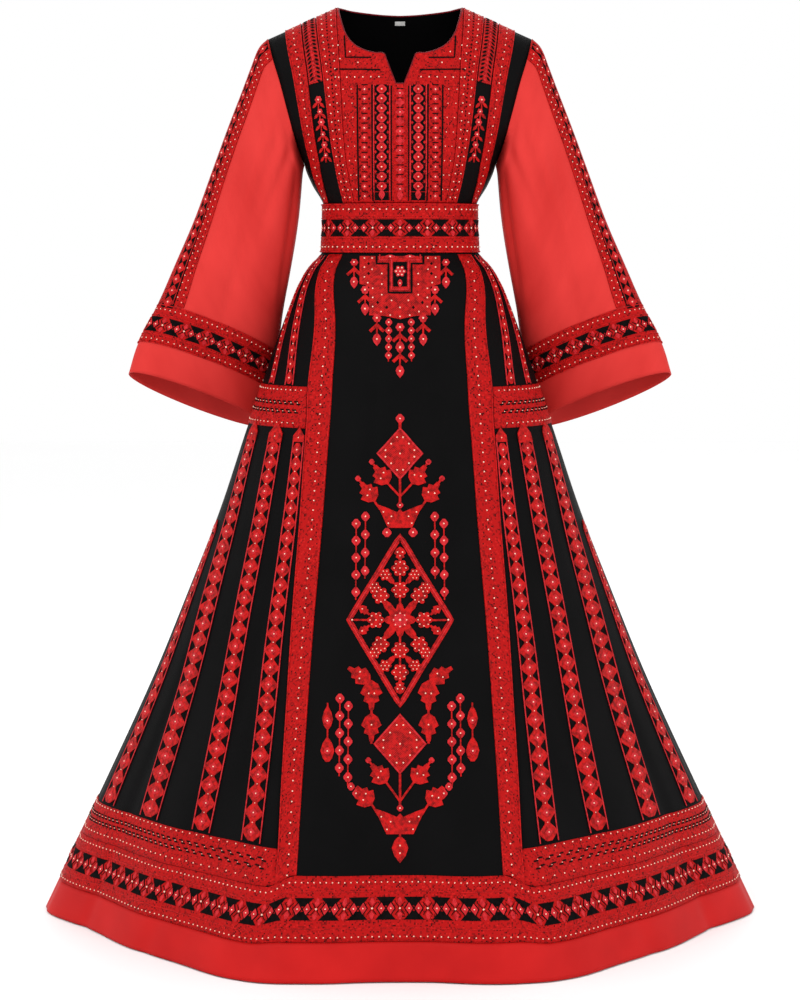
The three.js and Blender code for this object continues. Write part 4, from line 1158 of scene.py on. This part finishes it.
pendantLook = {
    # right half, width, thread and top level of each frame
    "frames": [([(33.5, 989), (33.5, 976), (16.5, 976), (16.5, 935)], 3.2, "blackThread", 2.2),
               ([(29, 989), (29, 981), (12, 981), (12, 939.5)], 2.0, "rose", 2.4)],
    "panel": [(58, 45), (58, 3), (44, -2), (44, -45), (22, -46), (0, -51)],
    "flowers": [(66, 978, 964, 949), (50, 939, 925, 911), (33, 899, 884, 868), (0, 886, 870, 857),
                (0, 857, 841, 823)],  # place across, heights of bud, leaves and drop
    # place across and heights
    "stones": [(51, (984, 971, 957)), (46, (949,)), (39, (941, 928, 915)), (27, (908,)), (14, (903,)),
               (40, (984, 968)), (26, (962, 947, 932)), (12, (924,)), (0, (901, 914))],
    "diamonds": [(45, (976, 962)), (32, 921), (19, 914)],
}


def hangingFlower(work, x, circle, chevron, drop):
    # A round bud, two leaves spread downward and a drop, one on each side.
    work.motif(x, circle, petals(6, 6.4, 5.2), material="rose")
    work.stem([(x, circle), (x, drop)], 2.4)
    for side in (-1, 1) if x else (1,):
        work.stem([(x, chevron + 5), (x + side * 10, chevron - 4)], 4.6)
    work.motif(x, drop, dropShape, (12.5, 18), material="rose")
    work.gems([(x, circle)], 1.9, 1.7)
    work.gems([(x, drop + 1)], 1.8, 1.7)


def pendant():
    # Embroidered panel that hangs below the belt, with flowers at its lower edge.
    work = Stitching(frontPlace, (1.0, 1.0))
    work.motif(0, 945, mirrored(pendantLook["panel"]), material="stitchTile")
    for half, width, material, top in pendantLook["frames"]:
        whole = [(-x, height) for x, height in half] + half[::-1]
        work.ribbon(dense(whole, 8), width, material, (1.2, top))
    work.motif(0, 961, square, (20, 38), material="blackThread", levels=(1.2, 2.0))
    work.motif(0, 965, petals(6, 9.0, 6.2), material="rose", levels=(1.6, 2.6))
    work.motif(0, 948, dropShape, (7, 12), material="rose", levels=(1.6, 2.6))
    work.motif(14, 986, lozenge, (15, 6), material="rose", levels=(1.4, 2.4))
    turns = np.arange(6) * math.pi / 3
    work.stones(place(5.5 * np.cos(turns), 965 + 5.5 * np.sin(turns)), 1.5, 2.5)
    work.gems([(0, 965), (0, 948), (14, 986)], 1.5, 2.5)
    for x, heights in pendantLook["stones"]:
        work.gems(place(x, heights))
    for x, heights in pendantLook["diamonds"]:
        work.motif(x, heights, diamond, (4.5, 5.5), material="blackThread", levels=(1.2, 1.9))
    beadChain(work, 16, 893, 846, 5, 9.5)
    for flower in pendantLook["flowers"]:
        hangingFlower(work, *flower)
    work.finish("waistPendant")
    print("waist pendant ready")


pendant()

bodiceCloth = {
    "perColumn": 3, "rows": 64, "middle": (0, 0, 1190), "stripReach": 1.61,
    "yokeAcross": (-9.96, 9.96, 81), "yokeUp": (0.39, 1.975, 56),  # first, last, count
}
stripSpans = {"Inner": ((10.04, 11.98), (4.04, 5.98)), "Outer": ((13.02, 13.98), (7.02, 7.98))}  # front, back


def bodicePieces():
    for name, surface, table in (("bodiceFront", bodiceFront, frontColumns),
                                 ("bodiceBack", bodiceBack, backColumns)):
        last = len(table) - 1
        across = np.linspace(-last, last, 2 * last * bodiceCloth["perColumn"] + 1)
        clothPiece(name, surface, across, np.linspace(0.001, 2.0, bodiceCloth["rows"]), "black",
                   middle=bodiceCloth["middle"])
    clothPiece("yokePanel", bodiceFront, np.linspace(*bodiceCloth["yokeAcross"]),
               np.linspace(*bodiceCloth["yokeUp"]), "stitches", middle=bodiceCloth["middle"], **trimCloth)
    reach = bodiceCloth["stripReach"]
    for word, (frontSpan, backSpan) in stripSpans.items():
        for half, sign in halves:
            def strip(across, along, sign=sign, frontSpan=frontSpan, backSpan=backSpan):
                # along runs from -reach in front over 0 on the shoulder to reach behind
                across, along = np.broadcast_arrays(np.asarray(across, float), np.asarray(along, float))
                front = bodiceFront(sign * mix(*frontSpan, across), 2 - np.maximum(-along, 0))
                back = bodiceBack(sign * mix(*backSpan, across), 2 - np.maximum(along, 0))
                return np.where((along < 0)[..., None], front, back)
            clothPiece("chestStrip" + word + half, strip, np.linspace(0, 1, 9), np.linspace(-reach, reach, 91),
                       "stitches", middle=(sign * 90, 0, 1190), grain=24.0, **trimCloth)
    print("bodice cloth ready")


bodicePieces()

yokeLook = {"low": 1068.0, "high": 1232.0}


def yokeStitches():
    work = Stitching(chestFront, (1.0, 1.0), (0, 0, 1150))
    low, high = yokeLook["low"], yokeLook["high"]

    def line(points, width=2.0, material="blackThread"):
        work.stem(points, width, material, (1.0, 1.9), 9)

    def tiles(x, heights, outline, material, size, base, top):
        work.motif(x, heights, outline, size, 0.0, material, (base, top))
    for points in ([(80, 1304), (78, 1272), (41, 1271)], [(94, 1255), (28, 1253)]):
        line(points)
    for x in (61, 40):
        line([(x, high), (x * 0.97, low)], 2.2)
    for x in (37.5, 14.5):
        line([(x, high), (x, low + 12)], 1.4, "rose")
    # dark column with a chain of diamonds
    heights = spaced(high, low + 14, 13.8)
    cells = (high - low) / 13
    tiles(26, high - cells * (np.arange(13) + 0.5), square, "blackThread", (20.5, cells + 0.2), 1.0, 1.5)
    tiles(26, heights, lozenge, "rose", (14, 13.0), 1.3, 2.2)
    tiles(26, heights, petals(4, 4.6, 3.2), "thread", (1, 1), 1.6, 2.6)
    work.gems(place(26, heights), 1.6, 2.4)
    for x in (17.2, 34.8):
        tiles(x, heights + 6.9, diamond, "thread", (4, 5), 1.2, 1.9)
    tiles(26, low + 8, dropShape, "rose", (9, 15), 1.3, 2.2)
    # stitched column with diamonds and stones
    heights = spaced(high, low, 13.2)
    tiles(50.5, heights, diamond, "rose", (9, 10), 1.0, 1.7)
    tiles(50.5, heights + 6.6, square, "blackThread", (9, 1.6), 1.0, 1.5)
    for x in (44, 57):
        tiles(x, heights, square, "blackThread", (1.8, 3.4), 1.0, 1.5)
    work.gems(place(50.5, heights), 1.5, 1.6)
    # plain field beside it, and rows on the collar
    heights = spaced(high + 4, low + 6, 20)
    for x, foot in ((70, 60), (82, 67)):
        work.gems(place(mix(foot, x, (heights - low) / 164), heights), 1.0, 1.2)
    work.gems(place(np.arange(30, 92, 11.5), 1243), 1.45, 1.3)
    work.gems([(72, 1280), (60, 1264), (86, 1270), (89, 1290)], 1.4, 1.3)
    # centre column
    heights = spaced(1226, low + 10, 13.0)
    tiles(0, heights, petals(4, 6.4, 3.6), "rose", (1, 1), 1.0, 1.8)
    tiles(0, heights + 6.5, square, "blackThread", (10, 1.5), 1.0, 1.5)
    work.gems(place(0, heights[::2]), 1.2, 1.7)
    line([(10, 1230), (10, low + 6)], 1.4, "thread")
    line([(12.3, 1230), (12.3, low)], 1.6)
    tiles(0, low + 7, dropShape, "rose", (9, 15), 1.2, 2.0)
    work.finish("yokeStitches")


sprayLook = {"flowers": ((1212, 1.0), (1195, 0.8), (1180, 1.0), (1163, 0.8), (1148, 1.0), (1133, 0.7))}


def shoulderStitches(half, sign):
    # Stones and edges of the strips over the shoulder, and what lies between the two strips.
    steps, middle = (0.02, 0.004), (sign * 60, 0, 1150)
    work = Stitching(None, steps)
    for sheet, end in ((bodiceFront, 0), (bodiceBack, 1)):
        for word, spans in stripSpans.items():
            def strip(across, up, span=spans[end], sheet=sheet):
                return sheet(sign * mix(*span, across), up)
            work.lieOn(strip, steps, middle)
            probe = np.linspace(0.42, 1.99, 80)
            travelled = travel(strip(np.full(80, 0.5), probe))
            ups = np.interp(np.arange(6, travelled[-1], 12.5), travelled, probe)
            for across in (0.26, 0.74) if word == "Inner" else (0.5,):
                work.stones(place(across, ups), 1.3, 1.3)
            for edge in (0.04, 0.96):
                work.ribbon(place(edge, np.linspace(0.4, 1.985, 60)), 1.5, "thread", (1.0, 1.9))
            if word == "Inner":
                ups = np.interp(np.arange(3, travelled[-1], 6.5), travelled, probe)
                work.tiles(place(0.5, ups), diamond, "blackThread", (1.0, 1.6), (2.6, 3.4))

    def panel(column, up):
        return bodiceFront(sign * np.asarray(column, float), up)
    # vine of small dark leaves on red near the shoulder
    work.lieOn(panel, steps, middle)
    ups = np.linspace(1.53, 1.985, 40)
    left, centre, right = [panel(np.full(40, column), ups) for column in (12.06, 12.5, 12.94)]
    work.ribbon(place(12.5, ups), np.linalg.norm(right - left, axis=1), "stitchTile", (0.3, 1.1))
    travelled = travel(centre)
    vine = np.interp(np.arange(4, travelled[-1], 6.6), travelled, ups)
    for side in (-1, 1):
        work.tiles(place(12.5 + side * 0.24, vine + side * 0.008), petalShape, "blackThread", (0.9, 1.7),
                   (4.0, 7.6), side * 50)
    work.tiles(place(12.5, vine), diamond, "rose", (0.9, 1.9), (3.2, 4.4))

    def between(x, height):
        return bodicePlace(sign * x, height, -1)
    # flowers on the black cloth
    work.lieOn(between, (1, 1), (0, 0, 1150))
    for height, size in sprayLook["flowers"]:
        x = mix(106, 118.5, (height - 1130) / 92)
        work.tiles([(x, height)], petals(6, 5.6, 4.4), "rose", (0.2, 1.6), (size, size))
        for side in (-1, 1):
            work.tiles([(x + side * 5.2, height - 8 * size)], petalShape, "thread", (0.2, 1.4), (5.6, 11),
                       side * 46)
        work.tiles([(x, height - 8.5 * size)], square, "thread", (0.2, 1.4), (1.8, 12 * size))
        work.lieOn(between, (1, 1), middle)
        work.stones([(x, height)], 1.6, 1.5)
        work.lieOn(between, (1, 1), (0, 0, 1150))
    work.finish("shoulderStitches" + half)


yokeStitches()
for half, sign in halves:
    shoulderStitches(half, sign)
print("bodice stitches ready")


def belt():
    clothPiece("belt", beltSurface, np.linspace(-180, 180, 181)[:-1], np.linspace(*beltLook["cloth"]),
               "stitches", lift=1.8, thickness=1.6, held="stretched", ring=True, middle=beltLook["middle"])

    def lifted(angle, height):
        q = beltSurface(angle, height)
        turn = np.broadcast_to(np.asarray(angle, float) * degree, q.shape[:-1])
        return q + np.stack([np.sin(turn), -np.cos(turn), 0 * turn], axis=-1) * beltLook["lift"]
    work = Stitching(lifted, (0.4, 1.0), beltLook["middle"])
    angles = np.arange(-180, 181, 1.0)
    along, total = evenPlaces(beltSurface, angles, 1029.0)
    count = int(round(total / beltLook["pitch"] / 2)) * 2
    borderMotif(work, along, count, total, beltLook["motifs"], beltLook["high"])
    for height in beltLook["stoneRows"]:
        work.stones(place(along(int(total / beltLook["stonePitch"])), height), 1.5, 1.2)
    for height, width in beltLook["lines"]:
        work.ribbon(place(angles[:-1], height), width, "thread", (0.6, 1.6), True)
    work.finish("beltStitches")
    print("belt ready")


belt()

sleeveLook = {
    "cuffPitch": 34.0, "cuffHigh": 24.0, "cuffStones": 8.5, "cuffMiddle": (290, 50, 850),
    "cuffStoneRows": (0.12, 0.88), "cuffLines": (0.015, 0.25, 0.75, 0.985), "middle": (215, 20, 1030),
    "chains": {-27.0: 18.0, 27.0: 18.0}, "stoneRows": {-38.0: 11.5, 38.0: 11.5, -44.5: 11.5, 44.5: 11.5},
    "lines": (-48.0, -41.3, -34.5, -18.5, 18.5, 34.5, 41.3, 48.0),  # turns from the outer fold
}


def cuff(turn, down):
    return sleeveSurface(turn, sleeveForm["bandTop"] + np.asarray(down, float))


def sleeve(half, mirrorX):
    turns = np.linspace(0, 360, 109)[:-1]
    clothPiece("sleeve" + half, sleeveSurface, turns, np.linspace(0.02, 10, 90), "satin", ring=True,
               middle=sleeveLook["middle"], mirrorX=mirrorX)
    clothPiece("cuffBand" + half, sleeveSurface, turns, np.linspace(8.0, 9.0, 14), "stitches", ring=True,
               middle=(290, 45, 850), mirrorX=mirrorX, **trimCloth)
    clothPiece("sleeveStrip" + half, sleeveSurface, np.linspace(-49, 49, 29), np.linspace(0.03, 7.98, 90),
               "stitches", middle=(200, 20, 1030), grain=70.0, mirrorX=mirrorX, **trimCloth)
    work = Stitching(cuff, (1.5, 0.02), sleeveLook["cuffMiddle"])
    angles = np.arange(0, 361, 2.0)
    along, total = evenPlaces(cuff, angles, 0.5)
    borderMotif(work, along, int(round(total / sleeveLook["cuffPitch"])), total, 0.5, sleeveLook["cuffHigh"])
    for down in sleeveLook["cuffStoneRows"]:
        work.stones(place(along(int(total / sleeveLook["cuffStones"])), down), 1.2, 1.3)
    for down in sleeveLook["cuffLines"]:
        work.ribbon(place(angles[:-1], down), 1.3, "thread", (1.0, 1.8), True)
    work.finish("cuffStitches" + half, mirrorX)
    # strip along the outer fold: chains of diamonds on dark squares, and rows of stones
    work = Stitching(sleeveSurface, (1.5, 0.02), sleeveLook["middle"])
    probe = np.linspace(0.12, 7.93, 120)

    def down(turn, pitch):
        travelled = travel(sleeveSurface(np.full(120, turn), probe))
        return np.interp(np.arange(pitch / 2, travelled[-1], pitch), travelled, probe)
    for turn, pitch in sleeveLook["chains"].items():
        rings = down(turn, pitch)
        spots, width = place(turn, rings), np.interp(rings, [0, 8], [9.5, 17.0])
        work.tiles(spots, square, "blackThread", (1.0, 1.5), place(width * 1.25, 18.2))
        work.tiles(spots, diamond, "thread", (1.3, 2.2), place(width * 1.15, 18.0))
        work.tiles(spots, diamond, "rose", (1.5, 2.6), place(width * 0.6, 9.0))
        work.stones(spots, 1.5, 2.4)
    for turn, pitch in sleeveLook["stoneRows"].items():
        work.stones(place(turn, down(turn, pitch)), 1.15, 1.3)
    for turn in sleeveLook["lines"]:
        work.ribbon(place(turn, np.linspace(0.1, 7.97, 80)), 1.3, "thread", (1.0, 1.8))
    work.finish("sleeveStripStitches" + half, mirrorX)


sleeve("Left", False)
sleeve("Right", True)
print("sleeves ready")

neckLook = {"radius": 1.3, "sides": 8, "spacing": 1.2, "labelWidth": 15.0, "labelDrop": 6.5, "labelWall": 0.8}


def neckBinding():
    loop = np.concatenate([bodiceFront(np.linspace(-10, 10, 121), np.full(121, 2.0)),
                           bodiceBack(np.linspace(3.9, -3.9, 41), np.full(41, 2.0))])
    keep = [0]
    for k in range(1, len(loop)):
        if np.linalg.norm(loop[k] - loop[keep[-1]]) > neckLook["spacing"]:
            keep.append(k)
    loop = loop[keep]
    along = unit(np.roll(loop, -1, axis=0) - np.roll(loop, 1, axis=0))
    away = loop - np.array([0, 0, 1150.0])
    away = unit(away - np.sum(away * along, axis=1)[:, None] * along)
    across = np.cross(along, away)
    m, count = neckLook["sides"], len(loop)
    turns = 2 * math.pi * np.arange(m) / m
    rings = [loop + (math.cos(t) * away + 1.15 * math.sin(t) * across) * neckLook["radius"] for t in turns]
    faces = [(i * m + k, i * m + (k + 1) % m, ((i + 1) % count) * m + (k + 1) % m, ((i + 1) % count) * m + k)
             for i in range(count) for k in range(m)]
    work = Stitching(None, None)
    work.add("binding", np.stack(rings, axis=1).reshape(-1, 3), faces)
    piece = work.finish("neckBinding")
    bpy.ops.object.shade_smooth()
    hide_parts("neck_binding")


def neckLabel():
    low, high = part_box("neck_label")
    wall = neckLook["labelWall"] * 0.001
    bpy.ops.object.select_all(action="DESELECT")
    bpy.ops.mesh.primitive_cube_add(size=1, location=[(a + b) / 2 for a, b in zip(low, high)])
    label = bpy.context.object
    label.name = "neckLabel"
    label.scale = (neckLook["labelWidth"] * 0.001, wall, neckLook["labelDrop"] * 0.001)
    label.rotation_euler = (math.atan2(high[1] - low[1] - wall, high[2] - low[2]), 0, 0)
    bpy.ops.object.transform_apply(location=True, rotation=True, scale=True)
    bevel = label.modifiers.new("soft", "BEVEL")
    bevel.width = 0.0003
    bevel.segments = 2
    bpy.ops.object.modifier_apply(modifier="soft")
    label.data.materials.append(materials["label"])
    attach(label, "root")
    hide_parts("neck_label")


neckBinding()
neckLabel()
print("neck ready")

stageLook = {
    "floor": 9.0, "camera": (0.0, -3.635, 0.999 - originHeight / 1000), "pitch": 5.9, "lens": 87.7,
    "lights": [("key", (-2.2, -3.0, 1.9), 2.4, 55), ("fill", (2.6, -2.6, 0.6), 2.6, 30),
               ("back", (0, 3.2, 1.6), 2.6, 30)],  # name, place, size, power
}


def stage():
    bpy.ops.object.select_all(action="DESELECT")
    bpy.ops.mesh.primitive_plane_add(size=stageLook["floor"] * 2,
                                     location=(0, 0, -originHeight / 1000 - 0.002))
    floor = bpy.context.object
    floor.name = "floor"
    look = Shading("paleFloor", 0.9)
    look.colour(look.texture("Noise", None, Scale=3).outputs[0],
                [(0.4, (0.98, 0.98, 0.98)), (0.6, (0.995, 0.995, 0.995))])
    floor.data.materials.append(look.material)
    scene = bpy.context.scene
    scene.world = bpy.data.worlds.new("studio")
    scene.world.use_nodes = True
    background = scene.world.node_tree.nodes["Background"]
    background.inputs["Color"].default_value = (1, 1, 1, 1)
    background.inputs["Strength"].default_value = 1.0
    for name, at, size, power in stageLook["lights"]:
        light = bpy.data.objects.new(name, bpy.data.lights.new(name, "AREA"))
        light.data.size = size
        light.data.energy = power
        light.location = at
        direction = np.array([0, 0, -0.5]) - np.array(at)
        tilt = math.acos(-direction[2] / np.linalg.norm(direction))
        light.rotation_euler = (tilt, 0, math.atan2(direction[1], direction[0]) - math.pi / 2)
        scene.collection.objects.link(light)
    camera = bpy.data.objects.new("camera", bpy.data.cameras.new("camera"))
    camera.data.lens = stageLook["lens"]
    camera.data.sensor_width = 36
    camera.data.clip_end = 50
    camera.location = stageLook["camera"]
    camera.rotation_euler = ((90 - stageLook["pitch"]) * degree, 0, 0)
    scene.collection.objects.link(camera)
    bpy.context.scene.camera = camera
    scene.view_settings.view_transform = "Standard"
    print("stage ready")


stage()
